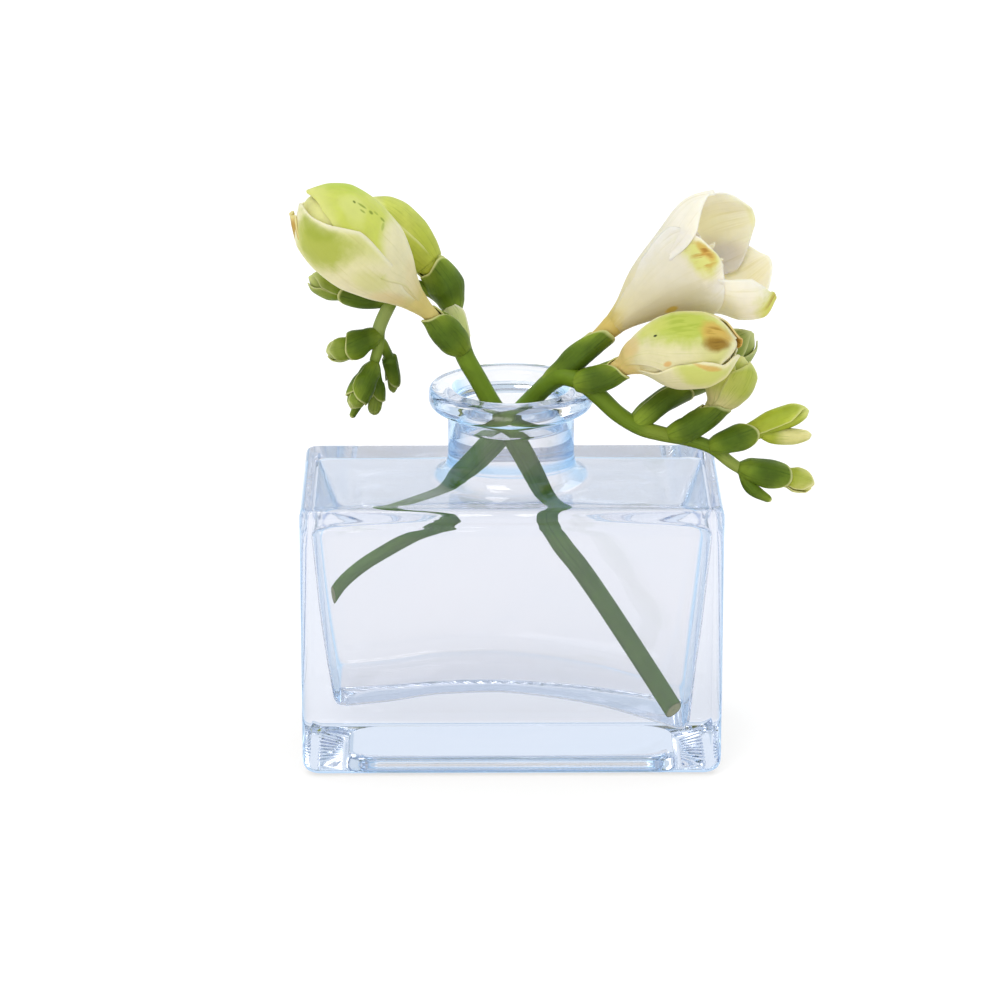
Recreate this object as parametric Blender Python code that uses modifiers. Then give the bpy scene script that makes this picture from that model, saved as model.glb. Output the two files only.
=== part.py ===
# Two cut freesia stems standing in a flat clear glass bottle filled with water.
# Tables are in millimetres about the bottle's own axis, meshes are in metres.
# +Z is up, the bottle's broad front faces -Y.

import math

import bpy
import bmesh
import numpy as np

mm = 0.001
gap = 0.3
weldDistance = 0.000002
longStep = 5.0
unionSolver = "MANIFOLD"

# bottle
bodyHalfX = 50.0
bodyHalfY = 26.2
bodyHeight = 67.2
cornerRadius = 2.6
footHeight = 3.0
neckRadius = 15.1
lipRadius = 19.7
lipTop = 90.0
lipUnder = 84.3
boreRadius = 12.3
mouthRadius = 13.3
waterTop = 80.0
waterGap = 0.35
cornerParts = (0.0, 0.2, 0.4, 0.6, 0.8, 1.0)
sideParts = (0.22, 0.62)
roundLimit = 0.5
# the outside from the hollow base up to the mouth: half width, half depth, corner radius and height
outerRows = [
    (20.0, 7.0, 3.0, footHeight),
    (37.6, 15.6, 7.0, footHeight),
    (39.4, 17.4, 7.6, footHeight - 1.4),
    (40.2, 18.2, 7.8, 0.0),
    (46.3, 22.5, 2.6, 0.0),
    (48.0, 24.2, 2.4, 0.45),
    (49.3, 25.5, 2.5, 1.6),
    (bodyHalfX, bodyHalfY, cornerRadius, 4.8),
    (bodyHalfX, bodyHalfY, cornerRadius, bodyHeight - 2.5),
    (49.7, 25.9, 2.5, bodyHeight - 1.0),
    (49.0, 25.2, 2.3, bodyHeight - 0.2),
    (47.8, 24.0, 2.2, bodyHeight),
    (28.0, 21.0, 16.0, bodyHeight + 0.05),
    (18.6, 18.6, 18.6, bodyHeight + 0.5),
    (16.4, 16.4, 16.4, bodyHeight + 1.9),
    (15.4, 15.4, 15.4, bodyHeight + 4.4),
    (neckRadius, neckRadius, neckRadius, bodyHeight + 7.5),
    (neckRadius, neckRadius, neckRadius, lipUnder - 1.2),
    (15.9, 15.9, 15.9, lipUnder - 0.1),
    (18.4, 18.4, 18.4, lipUnder + 0.5),
    (19.5, 19.5, 19.5, lipUnder + 1.6),
    (lipRadius, lipRadius, lipRadius, lipUnder + 3.2),
    (19.3, 19.3, 19.3, lipTop - 0.6),
    (18.2, 18.2, 18.2, lipTop),
    (14.6, 14.6, 14.6, lipTop),
    (mouthRadius, mouthRadius, mouthRadius, lipTop - 1.1),
    (12.5, 12.5, 12.5, lipTop - 4.6),
]
# the hollow inside: half width, half depth, corner radius and height of each ring, from the bore down,
# and the share of the water's gap by which the water stays under it
cavityRows = [
    (boreRadius, boreRadius, boreRadius, 73.0, 0.0),
    (12.6, 12.6, 12.6, 69.0, 0.0),
    (14.2, 14.2, 14.2, 66.6, 0.6),
    (17.6, 16.4, 16.4, 64.6, 1.0),
    (30.0, 18.2, 13.0, 63.0, 1.0),
    (44.6, 19.0, 3.0, 61.6, 1.0),
    (46.5, 19.9, 2.4, 60.6, 1.0),
    (47.1, 20.2, 2.2, 58.8, 0.5),
    (45.6, 20.3, 2.2, 42.0, 0.0),
    (43.9, 20.3, 2.2, 28.0, 0.0),
]
# the same for its uneven floor, with the height above the floor line
floorRows = [
    (42.4, 20.0, 2.2, 2.6),
    (41.3, 19.2, 2.0, 0.7),
    (39.0, 17.4, 2.0, 0.1),
    (18.0, 8.0, 2.0, 0.0),
]
floorLine = [(-42, 16.2), (-30, 17.4), (-16, 19.4), (-4, 19.8), (8, 18.6), (21, 16.2), (31, 13.2), (41, 9.8)]

# flowers and bracts
cupGap = 0.45
bractWall = 0.7
wetPoints = 12

# stems: the cut ends stand low in the water, the stems cross in the neck
leftStem = [(39.6, -16.7, 13.2), (36.2, -16.8, 18.9), (31.4, -16.8, 26.8), (26.4, -16.8, 34.9),
            (21.3, -16.8, 43.0), (16.1, -16.6, 50.8), (11.4, -15.2, 56.8), (7.7, -10.6, 63.0),
            (4.0, -6.8, 71.8), (0.0, -3.6, 79.5), (-4.6, -1.9, 86.0), (-7.9, -0.3, 91.6),
            (-10.7, 1.4, 96.2), (-11.9, 3.2, 99.4), (-12.5, 5.6, 103.4), (-14.3, 7.5, 107.0),
            (-18.6, 9.2, 110.4), (-23.5, 9.8, 111.9), (-27.1, 8.6, 110.3), (-29.5, 6.7, 106.8),
            (-31.5, 5.0, 102.3), (-31.6, 4.5, 98.2), (-32.8, 4.1, 94.0)]
leftRadius = [2.3, 2.35, 2.35, 2.35, 2.35, 2.35, 2.35, 2.3, 2.25, 2.2, 2.2, 2.2, 2.25, 2.3, 2.3, 2.0, 1.6,
              1.5, 1.55, 1.6, 1.6, 1.4, 1.2]
rightStem = [(-43.2, -16.5, 42.6), (-40.2, -16.2, 47.0), (-35.2, -15.0, 51.2), (-28.8, -12.3, 54.7),
             (-23.0, -8.6, 57.2), (-17.6, -4.2, 58.8), (-12.9, -0.4, 61.6), (-8.8, 1.8, 67.0),
             (-4.9, 2.9, 73.0), (-1.2, 2.9, 78.5), (3.2, 0.9, 84.3), (6.4, -1.2, 88.3),
             (9.2, -3.6, 91.8), (12.2, -6.2, 94.1), (16.7, -8.0, 93.1), (20.9, -8.6, 89.6),
             (25.2, -8.5, 85.4), (30.5, -8.5, 82.0), (35.7, -8.5, 80.4), (42.3, -8.5, 78.9),
             (47.6, -8.5, 76.9), (51.9, -8.5, 73.4), (55.0, -8.5, 71.3)]
rightRadius = [1.45, 1.55, 1.6, 1.65, 1.7, 1.8, 1.95, 2.1, 2.2, 2.25, 2.25, 2.25, 2.3, 2.3, 2.2, 2.1, 2.0,
               1.9, 1.8, 1.6, 1.5, 1.4, 1.3]

# florets: "path" starts on the stem, "sheath" is the outer radius of its bract cup along the path,
# "rims" the cup's height on the upper, near, lower and far side, "foot" where the petals begin inside
leftFlower = dict(
    path=[(-11.3, 1.8, 98.0), (-15.5, 1.0, 103.2), (-19.5, 0.2, 107.8), (-26.5, -3.0, 115.5),
          (-33.4, -5.5, 123.4), (-41.0, -7.5, 131.5), (-48.6, -9.0, 139.0)],
    sheath=[(0, 2.3), (4, 4.0), (8, 4.3), (12, 3.3), (16, 2.9)], rims=(13.6, 12.4, 13.8, 13.2), foot=5.5,
    shape=[(5.5, 1.3), (9, 1.6), (13.5, 1.9), (17.9, 3.0), (22.2, 4.7), (28.7, 8.1), (35.3, 10.3),
           (41.8, 10.7), (48.3, 9.7), (52.7, 6.9), (57.0, 1.4)])
leftSecond = dict(
    path=[(-13.4, 7.2, 106.0), (-15.9, 8.4, 113.1), (-20.5, 9.8, 118.9), (-26.4, 11.2, 124.2),
          (-35.5, 13.0, 131.6)],
    sheath=[(0, 1.9), (3, 3.4), (7, 4.9), (11, 4.8), (15, 4.2)], rims=(13.4, 11.4, 12.2, 13.0), foot=7.4,
    shape=[(7.4, 1.4), (9, 1.9), (12.5, 3.1), (16.5, 4.7), (21.5, 6.0), (26, 6.2), (30, 5.2), (33, 3.0),
           (34.8, 0.9)])
leftThird = dict(
    path=[(-27.3, 8.6, 110.2), (-33.0, 8.9, 109.2), (-40.4, 8.6, 110.9), (-48.4, 8.0, 114.7)],
    sheath=[(0, 1.5), (3, 2.6), (8, 3.1), (13, 3.0), (16, 2.8)], rims=(13.0, 14.4, 12.6, 12.0), foot=3.6,
    shape=[(3.6, 1.1), (8, 1.9), (13, 2.1), (16, 2.8), (19.5, 2.5), (22.0, 0.8)])
leftFourth = dict(
    path=[(-31.4, 4.8, 101.2), (-35.0, 3.6, 100.0), (-39.0, 2.5, 98.6), (-43.9, 1.4, 98.0)],
    sheath=[(0, 1.5), (3, 2.9), (6.5, 3.2), (10, 3.1)], rims=(8.2, 9.6, 9.0, 8.4), foot=3.2,
    shape=[(3.2, 1.3), (6, 2.1), (8.6, 2.1), (10, 2.9), (12.2, 2.4), (13.3, 0.8)])
leftFifth = dict(
    path=[(-31.4, 4.8, 100.2), (-28.9, 7.2, 93.8), (-28.2, 9.0, 86.0)],
    sheath=[(0, 1.2), (3, 1.6), (7, 2.0), (12, 2.0)], rims=(11.4, 12.2, 11.0, 11.8), foot=6.2,
    shape=[(6.2, 0.8), (9, 1.0), (11.6, 1.1), (12.6, 1.7), (13.5, 0.6)])
leftSixth = dict(
    path=[(-32.6, 4.0, 94.2), (-35.4, 0.6, 89.8), (-37.9, -1.2, 85.1)],
    sheath=[(0, 1.3), (2.5, 2.6), (6, 3.1), (9.5, 3.0), (11.5, 2.6)],
    rims=(10.6, 10.0, 10.8, 10.4), foot=3.6,
    shape=[(3.6, 1.1), (6, 1.9), (9, 1.9), (10.9, 2.2), (12.1, 0.7)])
leftSeventh = dict(
    path=[(-32.7, 4.4, 94.4), (-32.2, 6.0, 87.7), (-32.8, 6.2, 80.7)],
    sheath=[(0, 1.2), (3, 1.6), (7, 2.1), (11, 2.1)], rims=(10.6, 10.0, 10.4, 9.6), foot=6.0,
    shape=[(6.0, 0.8), (8, 1.0), (10.6, 1.15), (12, 1.9), (13.2, 1.5), (13.9, 0.5)])
rightFlower = dict(
    path=[(8.8, -3.3, 91.4), (15.8, -5.0, 98.7), (22.8, -4.5, 104.9), (27.8, -3.0, 109.1),
          (35.1, -0.6, 114.8), (44.6, 2.2, 119.4), (54.4, 4.0, 123.2)],
    sheath=[(0, 2.2), (4, 2.9), (9, 3.4), (14, 3.3), (19, 2.9)], rims=(16.6, 19.6, 20.2, 17.6), foot=8.5,
    shape=[(8.5, 1.3), (12, 1.7), (18, 2.2), (24, 3.3), (32, 6.6), (42, 10.9), (50, 14.2), (57, 15.6),
           (64, 15.0)])
rightSecond = dict(
    path=[(15.2, -7.8, 92.9), (21.3, -9.5, 94.8), (26.0, -10.5, 97.6), (30.1, -12.4, 100.8),
          (35.9, -14.2, 102.8), (45.2, -15.4, 103.6), (53.8, -16.0, 104.2)],
    sheath=[(0, 2.2), (4, 3.6), (8, 3.8), (12, 3.2)], rims=(11.8, 12.6, 13.2, 14.2), foot=5.5,
    shape=[(5.5, 1.4), (9, 2.0), (12, 2.3), (17.5, 5.0), (23.8, 8.5), (28.5, 9.2), (33, 9.1), (37, 7.7),
           (41.9, 4.2)])
rightThird = dict(
    path=[(29.0, -8.5, 83.0), (35.7, -5.0, 87.5), (42.1, 0.2, 89.5), (50.3, 5.6, 94.9), (58.8, 8.4, 100.8)],
    sheath=[(0, 1.9), (5, 3.1), (11, 3.3), (16, 2.9)], rims=(15.6, 16.6, 16.0, 14.8), foot=6.0,
    shape=[(6, 1.2), (10, 1.8), (15, 2.1), (20, 3.2), (26, 4.2), (32, 4.6), (36.2, 3.3), (38.4, 0.9)])
rightFourth = dict(
    path=[(37.3, -8.5, 80.1), (42.7, -8.9, 82.5), (48.0, -7.4, 86.3), (51.2, -5.2, 91.2),
          (54.7, -3.6, 97.5)],
    sheath=[(0, 1.8), (4, 3.3), (8, 3.5), (13, 3.3)], rims=(12.0, 13.6, 15.2, 12.4), foot=5.0,
    shape=[(5, 1.3), (9, 2.1), (13, 2.3), (16.5, 4.2), (20.5, 5.1), (23.5, 4.7), (25.8, 2.9), (26.9, 0.9)])
rightFifth = dict(
    path=[(47.2, -8.5, 77.2), (53.6, -9.8, 79.8), (59.2, -10.5, 82.4), (70.0, -11.0, 86.8)],
    sheath=[(0, 1.6), (4, 3.1), (8, 3.6), (13, 3.3)], rims=(10.4, 12.8, 11.8, 11.2), foot=5.2,
    shape=[(5.2, 1.1), (8, 1.9), (12, 2.3), (16, 2.8), (21, 2.6), (24, 1.7), (25.2, 0.6)])
rightSixth = dict(
    path=[(54.0, -8.5, 72.0), (60.3, -8.5, 70.6), (66.3, -8.5, 69.3), (72.3, -8.5, 67.7)],
    sheath=[(0, 1.4), (3, 3.0), (7, 3.7), (12, 3.4)], rims=(12.0, 12.8, 11.6, 12.2), foot=4.0,
    shape=[(4, 1.2), (8, 2.2), (12, 2.2), (14, 2.7), (16.8, 2.2), (18.6, 0.6)])
# three tiny closed tips that are leaf green all over: path and radius at each point
leftTip = ([(-33.2, 4.2, 92.8), (-35.4, 5.3, 86.4), (-37.8, 5.2, 81.2)], [0.9, 1.4, 0.7])
rightTip = ([(54.4, -8.6, 71.7), (57.0, -9.3, 67.2), (61.8, -9.4, 64.0)], [0.9, 1.6, 0.8])


def clearScene():
    for item in list(bpy.data.objects):
        bpy.data.objects.remove(item, do_unlink=True)


def material(name, colour, roughness):
    made = bpy.data.materials.new(name)
    made.use_nodes = True
    shader = made.node_tree.nodes["Principled BSDF"]
    shader.inputs["Base Color"].default_value = (colour[0], colour[1], colour[2], 1.0)
    shader.inputs["Roughness"].default_value = roughness
    shader.inputs["Metallic"].default_value = 0.0
    return made


# height of a smooth line through the table's points, without overshoot between them
def lineAt(table, x):
    xs = [p[0] for p in table]
    ys = [p[1] for p in table]
    if x <= xs[0]:
        return ys[0]
    if x >= xs[-1]:
        return ys[-1]
    k = 0
    while x > xs[k + 1]:
        k += 1
    slopes = [(ys[i + 1] - ys[i]) / (xs[i + 1] - xs[i]) for i in range(len(xs) - 1)]

    def tangent(i):
        if i == 0:
            return slopes[0]
        if i == len(xs) - 1:
            return slopes[-1]
        a = slopes[i - 1]
        b = slopes[i]
        return 0.0 if a * b <= 0 else 2 * a * b / (a + b)

    w = xs[k + 1] - xs[k]
    t = (x - xs[k]) / w
    h00 = (1 + 2 * t) * (1 - t) ** 2
    h10 = t * (1 - t) ** 2
    h01 = t * t * (3 - 2 * t)
    h11 = t * t * (t - 1)
    return h00 * ys[k] + h10 * w * tangent(k) + h01 * ys[k + 1] + h11 * w * tangent(k + 1)


# a smooth line in space with a frame that is carried along it:
# angle 0 looks up, 90 degrees towards the viewer, 180 down
class Line:
    def __init__(self, points):
        pts = np.array(points, dtype=float)
        ends = np.vstack([2 * pts[0] - pts[1], pts, 2 * pts[-1] - pts[-2]])
        dense = []
        for i in range(1, len(ends) - 2):
            a, b, c, d = ends[i - 1], ends[i], ends[i + 1], ends[i + 2]
            for t in np.linspace(0, 1, 12, endpoint=False):
                dense.append(0.5 * (2 * b + (c - a) * t + (2 * a - 5 * b + 4 * c - d) * t ** 2
                                    + (3 * b - a - 3 * c + d) * t ** 3))
        dense.append(pts[-1])
        self.p = np.array(dense)
        step = np.linalg.norm(np.diff(self.p, axis=0), axis=1)
        self.h = np.concatenate([[0], np.cumsum(step)])
        self.length = float(self.h[-1])
        self.knots = self.h[::12]
        tangent = np.gradient(self.p, self.h, axis=0)
        self.t = tangent / np.linalg.norm(tangent, axis=1)[:, None]
        up = np.array([0.0, 0.0, 1.0])
        if abs(self.t[0] @ up) > 0.97:
            up = np.array([-1.0, 0.0, 0.3])
        n = up - (up @ self.t[0]) * self.t[0]
        normals = []
        for t in self.t:
            n = n - (n @ t) * t
            n = n / np.linalg.norm(n)
            normals.append(n)
        self.n = np.array(normals)
        side = np.cross(self.t, self.n)
        self.b = side if side[0] @ np.array([0, -1.0, 0]) > 0 else -side

    def frame(self, h):
        h = min(max(h, 0.0), self.length)
        return [np.array([np.interp(h, self.h, a[:, k]) for k in range(3)])
                for a in (self.p, self.t, self.n, self.b)]

    def at(self, h, angle, radius):
        p, t, n, b = self.frame(h)
        return p + radius * (math.cos(angle) * n + math.sin(angle) * b)


# closed body from rings of equal count, each end closed by a fan
def stacked(name, rings, first=None, last=None):
    count = len(rings[0])
    verts = [p for ring in rings for p in ring]
    faces = []
    for j in range(len(rings) - 1):
        for i in range(count):
            a = j * count + i
            b = j * count + (i + 1) % count
            faces.append((a, b, b + count, a + count))
    for ring, centre, base in ((rings[0], first, 0), (rings[-1], last, (len(rings) - 1) * count)):
        middle = np.mean(np.array(ring), axis=0) if centre is None else centre
        verts.append(middle)
        tip = len(verts) - 1
        for i in range(count):
            faces.append((base + i, base + (i + 1) % count, tip))
    return solid(name, verts, faces)


def solid(name, verts, faces):
    mesh = bpy.data.meshes.new(name)
    mesh.from_pydata([tuple(float(c) * mm for c in v) for v in verts], [], faces)
    closeUp(mesh)
    return bpy.data.objects.new(name, mesh)


# welds the seams, splits into triangles and turns the faces outward
def closeUp(mesh):
    work = bmesh.new()
    work.from_mesh(mesh)
    bmesh.ops.remove_doubles(work, verts=work.verts, dist=weldDistance)
    bmesh.ops.triangulate(work, faces=work.faces)
    bmesh.ops.recalc_face_normals(work, faces=work.faces)
    if work.calc_volume(signed=True) < 0:
        bmesh.ops.reverse_faces(work, faces=work.faces)
    work.to_mesh(mesh)
    work.free()


# one ring of a rounded rectangle, or a circle where both halves equal the corner radius;
# each quarter of a rectangle has its corner's points and two more along the broad side
def ring(halfX, halfY, corner, z, floor=None, lift=0.0):
    perQuarter = len(cornerParts) + len(sideParts)
    out = []
    for q in range(4):
        cx = (halfX - corner) * (1 if q in (0, 3) else -1)
        cy = (halfY - corner) * (1 if q in (0, 1) else -1)
        if halfX - corner < roundLimit:
            places = [(cx, (k + 0.5) / perQuarter) for k in range(perQuarter)]
        elif q in (0, 2):
            places = [(cx, part) for part in cornerParts]
            places += [(cx * part, 1.0) for part in reversed(sideParts)]
        else:
            places = [(cx * part, 0.0) for part in sideParts] + [(cx, part) for part in cornerParts]
        for centre, part in places:
            angle = (q + part) * math.pi / 2
            x = centre + corner * math.cos(angle)
            y = cy + corner * math.sin(angle)
            out.append((x, y, z if floor is None else floor(x) + lift))
    return out


# the uneven glass floor inside: highest left of the middle, lowest at the right
def floorHeight(x):
    return lineAt(floorLine, x)


# rings of the hollow, drawn in by "inset" for the water
def cavityRings(inset):
    rings = []
    for halfX, halfY, corner, z, under in cavityRows:
        rings.append(ring(halfX - inset, halfY - inset, corner - inset, z - inset * under))
    for halfX, halfY, corner, lift in floorRows:
        rings.append(ring(halfX - inset, halfY - inset, corner - inset, 0.0, floor=floorHeight,
                          lift=lift + inset))
    return rings


def makeBottle():
    outer = [ring(*row) for row in outerRows]
    body = stacked("bottle", outer + cavityRings(0.0), first=(0, 0, footHeight), last=(0, 0, floorHeight(0)))
    body.data.materials.append(material("clear glass", (0.80, 0.88, 0.95), 0.05))
    return body


def makeWater(cutters):
    top = boreRadius - waterGap
    rings = [ring(top, top, top, waterTop)] + cavityRings(waterGap)
    body = stacked("water", rings, first=(0, 0, waterTop), last=(0, 0, floorHeight(0) + waterGap))
    for points, radii in ((leftStem, leftRadius), (rightStem, rightRadius)):
        foot = np.array(points[0])
        away = foot - np.array(points[1])
        below = foot + away / np.linalg.norm(away) * gap
        hole = tube("stem hole", [tuple(below)] + points[1:wetPoints], [r + gap for r in radii[:wetPoints]])
        hole.hide_render = True
        hole.display_type = "WIRE"
        cutters.objects.link(hole)
        cut = body.modifiers.new("stem hole", "BOOLEAN")
        cut.operation = "DIFFERENCE"
        cut.object = hole
    body.data.materials.append(material("water", (0.86, 0.92, 0.97), 0.02))
    return body


# round tube along a smooth line, with its own radius at every point; 8 sides, or 4 when thin
def tube(name, points, radii, fine=2):
    line = Line(points)
    stations = []
    for start, end in zip(line.knots[:-1], line.knots[1:]):
        stations.append(start)
        if end - start > longStep:
            stations.append((start + end) / 2)
    stations.append(line.length)
    curve = bpy.data.curves.new(name, "CURVE")
    curve.dimensions = "3D"
    curve.bevel_depth = mm
    curve.bevel_resolution = fine
    curve.use_fill_caps = True
    spline = curve.splines.new("POLY")
    spline.points.add(len(stations) - 1)
    table = list(zip(line.knots, radii))
    for point, h in zip(spline.points, stations):
        place = line.frame(h)[0] * mm
        point.co = (place[0], place[1], place[2], 1.0)
        point.radius = lineAt(table, h)
    drawn = bpy.data.objects.new(name, curve)
    bpy.context.scene.collection.objects.link(drawn)
    graph = bpy.context.evaluated_depsgraph_get()
    mesh = bpy.data.meshes.new_from_object(drawn.evaluated_get(graph))
    bpy.data.objects.remove(drawn, do_unlink=True)
    bpy.data.curves.remove(curve)
    closeUp(mesh)
    return bpy.data.objects.new(name, mesh)


# closed bud: the shape table turned about the path; "notch" furrows it between its three outer petals
def budBody(name, floret, sides=8, scale=1.0, start=None, stop=None, notch=0.0):
    line = Line(floret["path"])
    table = floret["shape"]
    start = table[0][0] if start is None else start
    stop = table[-1][0] if stop is None else stop
    stations = [start] + [h for h, r in table if start + 0.4 < h < stop - 0.4] + [stop]
    clear = max(floret["rims"]) + gap
    rings = []
    for h in stations:
        r = lineAt(table, h) * scale
        swell = notch * max(0.0, (h - clear) / (stop - clear))
        row = []
        for i in range(sides):
            angle = 2 * math.pi * (i + 0.5) / sides
            row.append(line.at(h, angle, r * (1 + swell * math.cos(3 * angle))))
        rings.append(row)
    return stacked(name, rings)


# bract cup: outer wall from the stem to an uneven rim, then down inside to a floor under the petals
def bractCup(name, floret, sides=12):
    line = Line(floret["path"])
    rims = floret["rims"]
    foot = floret["foot"]

    def rimAt(angle):
        q = (angle / (2 * math.pi)) % 1.0 * 4
        k = int(q) % 4
        f = q - int(q)
        f = f * f * (3 - 2 * f)
        return rims[k] * (1 - f) + rims[(k + 1) % 4] * f

    def innerRadius(h):
        return lineAt(floret["shape"], h) + cupGap

    def outerRadius(h):
        wall = bractWall + 0.5 * max(0.0, 1 - (h - foot) / 6.0)
        if h < foot:
            return lineAt(floret["sheath"], h)
        return max(lineAt(floret["sheath"], h), innerRadius(h) + wall)

    angles = [2 * math.pi * (i + 0.5) / sides for i in range(sides)]
    rings = []
    for f in (0.0, 0.18, 0.42, 0.7, 0.9):
        rings.append([line.at(rimAt(a) * f, a, outerRadius(rimAt(a) * f)) for a in angles])
    rings.append([line.at(rimAt(a), a, innerRadius(rimAt(a)) + 0.68) for a in angles])
    rings.append([line.at(rimAt(a), a, innerRadius(rimAt(a))) for a in angles])
    for f in (0.5, 0.0):
        row = []
        for a in angles:
            h = foot - gap + (rimAt(a) - foot + gap) * f
            row.append(line.at(h, a, innerRadius(h)))
        rings.append(row)
    return stacked(name, rings)


# one petal: a curved blade about the path, "near" and "far" its ends along it, "turn" its place around,
# "wide" its half width in mm at fractions of its length, "out" extra radius, "tuck" lifts one edge over
# the next petal, "drop" rounds the tip, "curl" opens the cross-section
def petal(name, floret, near, far, turn, wide, out=((0, 0), (1, 0)), tuck=0.0, drop=0.25,
          curl=((0, 1), (1, 1)), thick=0.75, along=7, across=5, wave=0.0):
    line = Line(floret["path"])
    centre = math.radians(turn)
    mid = np.zeros((along + 1, across + 1, 3))
    for j in range(along + 1):
        for i in range(across + 1):
            t = 2 * i / across - 1
            u = j / along
            reach = 1 - drop * abs(t) ** 2.4
            u = u * reach
            h = near + (far - near) * u
            over = max(0.0, h - line.length)
            radius = lineAt(floret["shape"], h) - thick / 2 + lineAt(out, u)
            radius += tuck * (1 + t) / 2 * min(1, 3 * u)
            radius += wave * math.sin(4.5 * t + turn) * u ** 3 * abs(t)
            bend = radius * lineAt(curl, u)
            angle = t * lineAt(wide, u) / bend
            p, tangent, n, b = line.frame(h)
            x = radius - bend + bend * math.cos(angle)
            y = bend * math.sin(angle)
            radial = math.cos(centre) * n + math.sin(centre) * b
            sideways = -math.sin(centre) * n + math.cos(centre) * b
            mid[j, i] = p + tangent * over + x * radial + y * sideways
    cols = across + 1
    faces = []
    for j in range(along):
        for i in range(across):
            a = j * cols + i
            faces.append((a, a + 1, a + cols + 1))
            faces.append((a, a + cols + 1, a + cols))
    mesh = bpy.data.meshes.new(name)
    mesh.from_pydata([tuple(float(c) * mm for c in v) for v in mid.reshape(-1, 3)], [], faces)
    blade = bpy.data.objects.new(name, mesh)
    shell = blade.modifiers.new("thickness", "SOLIDIFY")
    shell.thickness = thick * mm
    shell.offset = 0.0
    return blade


# joins the pieces of one node into a single closed body
def fuse(name, pieces, mat):
    base = pieces[0]
    base.name = name
    scene = bpy.context.scene.collection
    scene.objects.link(base)
    if len(pieces) > 1:
        group = bpy.data.collections.new("join " + name)
        scene.children.link(group)
        for piece in pieces[1:]:
            group.objects.link(piece)
        join = base.modifiers.new("join", "BOOLEAN")
        join.operation = "UNION"
        join.operand_type = "COLLECTION"
        join.solver = unionSolver
        join.collection = group
        bpy.context.view_layer.update()
        graph = bpy.context.evaluated_depsgraph_get()
        made = bpy.data.meshes.new_from_object(base.evaluated_get(graph))
        base.modifiers.clear()
        base.data = made
        for piece in list(group.objects):
            bpy.data.objects.remove(piece, do_unlink=True)
        bpy.data.collections.remove(group)
    tidy(base.data)
    base.data.name = name
    base.data.materials.clear()
    base.data.materials.append(mat)
    scene.objects.unlink(base)
    return base


# keeps only the one large body, welds slivers away and turns its faces outward
def tidy(mesh):
    work = bmesh.new()
    work.from_mesh(mesh)
    bmesh.ops.remove_doubles(work, verts=work.verts, dist=0.0000005)
    bmesh.ops.dissolve_degenerate(work, dist=0.000001, edges=work.edges)
    bmesh.ops.triangulate(work, faces=work.faces)
    seen = set()
    islands = []
    for vert in work.verts:
        if vert in seen:
            continue
        stack = [vert]
        seen.add(vert)
        island = []
        while stack:
            v = stack.pop()
            island.append(v)
            for edge in v.link_edges:
                other = edge.other_vert(v)
                if other not in seen:
                    seen.add(other)
                    stack.append(other)
        islands.append(island)
    islands.sort(key=len)
    for island in islands[:-1]:
        bmesh.ops.delete(work, geom=island, context="VERTS")
    bmesh.ops.recalc_face_normals(work, faces=work.faces)
    if work.calc_volume(signed=True) < 0:
        bmesh.ops.reverse_faces(work, faces=work.faces)
    work.to_mesh(mesh)
    work.free()


def makeSpray(name, points, radii, florets, tip):
    pieces = [tube(name, points, radii)]
    for floret in florets:
        pieces.append(bractCup(name + " bract", floret, sides=10 if floret["sheath"][-1][0] > 12 else 8))
    pieces.append(tube(name + " tip", tip[0], tip[1], fine=1))
    return fuse(name, pieces, material(name + " green", (0.13, 0.24, 0.04), 0.5))


# the big closed flower at the left: a full body, three outer petals laid over each other, a curled tip
def makeLeftFlower():
    f = leftFlower
    wide = ((0, 1.6), (0.2, 4.5), (0.45, 12.5), (0.7, 14.0), (0.88, 9.5), (1, 3.6))
    pieces = [budBody("left flower", f, sides=12, scale=0.9, stop=53.5)]
    pieces.append(petal("near", f, 15.5, 56.4, 104, wide, tuck=0.9, drop=0.3, along=7, across=6))
    pieces.append(petal("upper", f, 15.5, 56.6, -14, wide, tuck=0.9, drop=0.34, along=7, across=6))
    pieces.append(petal("lower", f, 15.5, 54.0, 224, wide, tuck=0.9, drop=0.34, along=7, across=5))
    curled = ((0, 3.0), (0.5, 2.0), (1, 0.9))
    pieces.append(petal("curled tip", f, 42.0, 55.0, 206, curled, out=((0, -0.4), (0.5, 1.2), (1, 4.6)),
                        drop=0.1, thick=0.9, along=4, across=2))
    return fuse("left_flower", pieces, material("cream and green petal", (0.62, 0.62, 0.27), 0.55))


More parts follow.
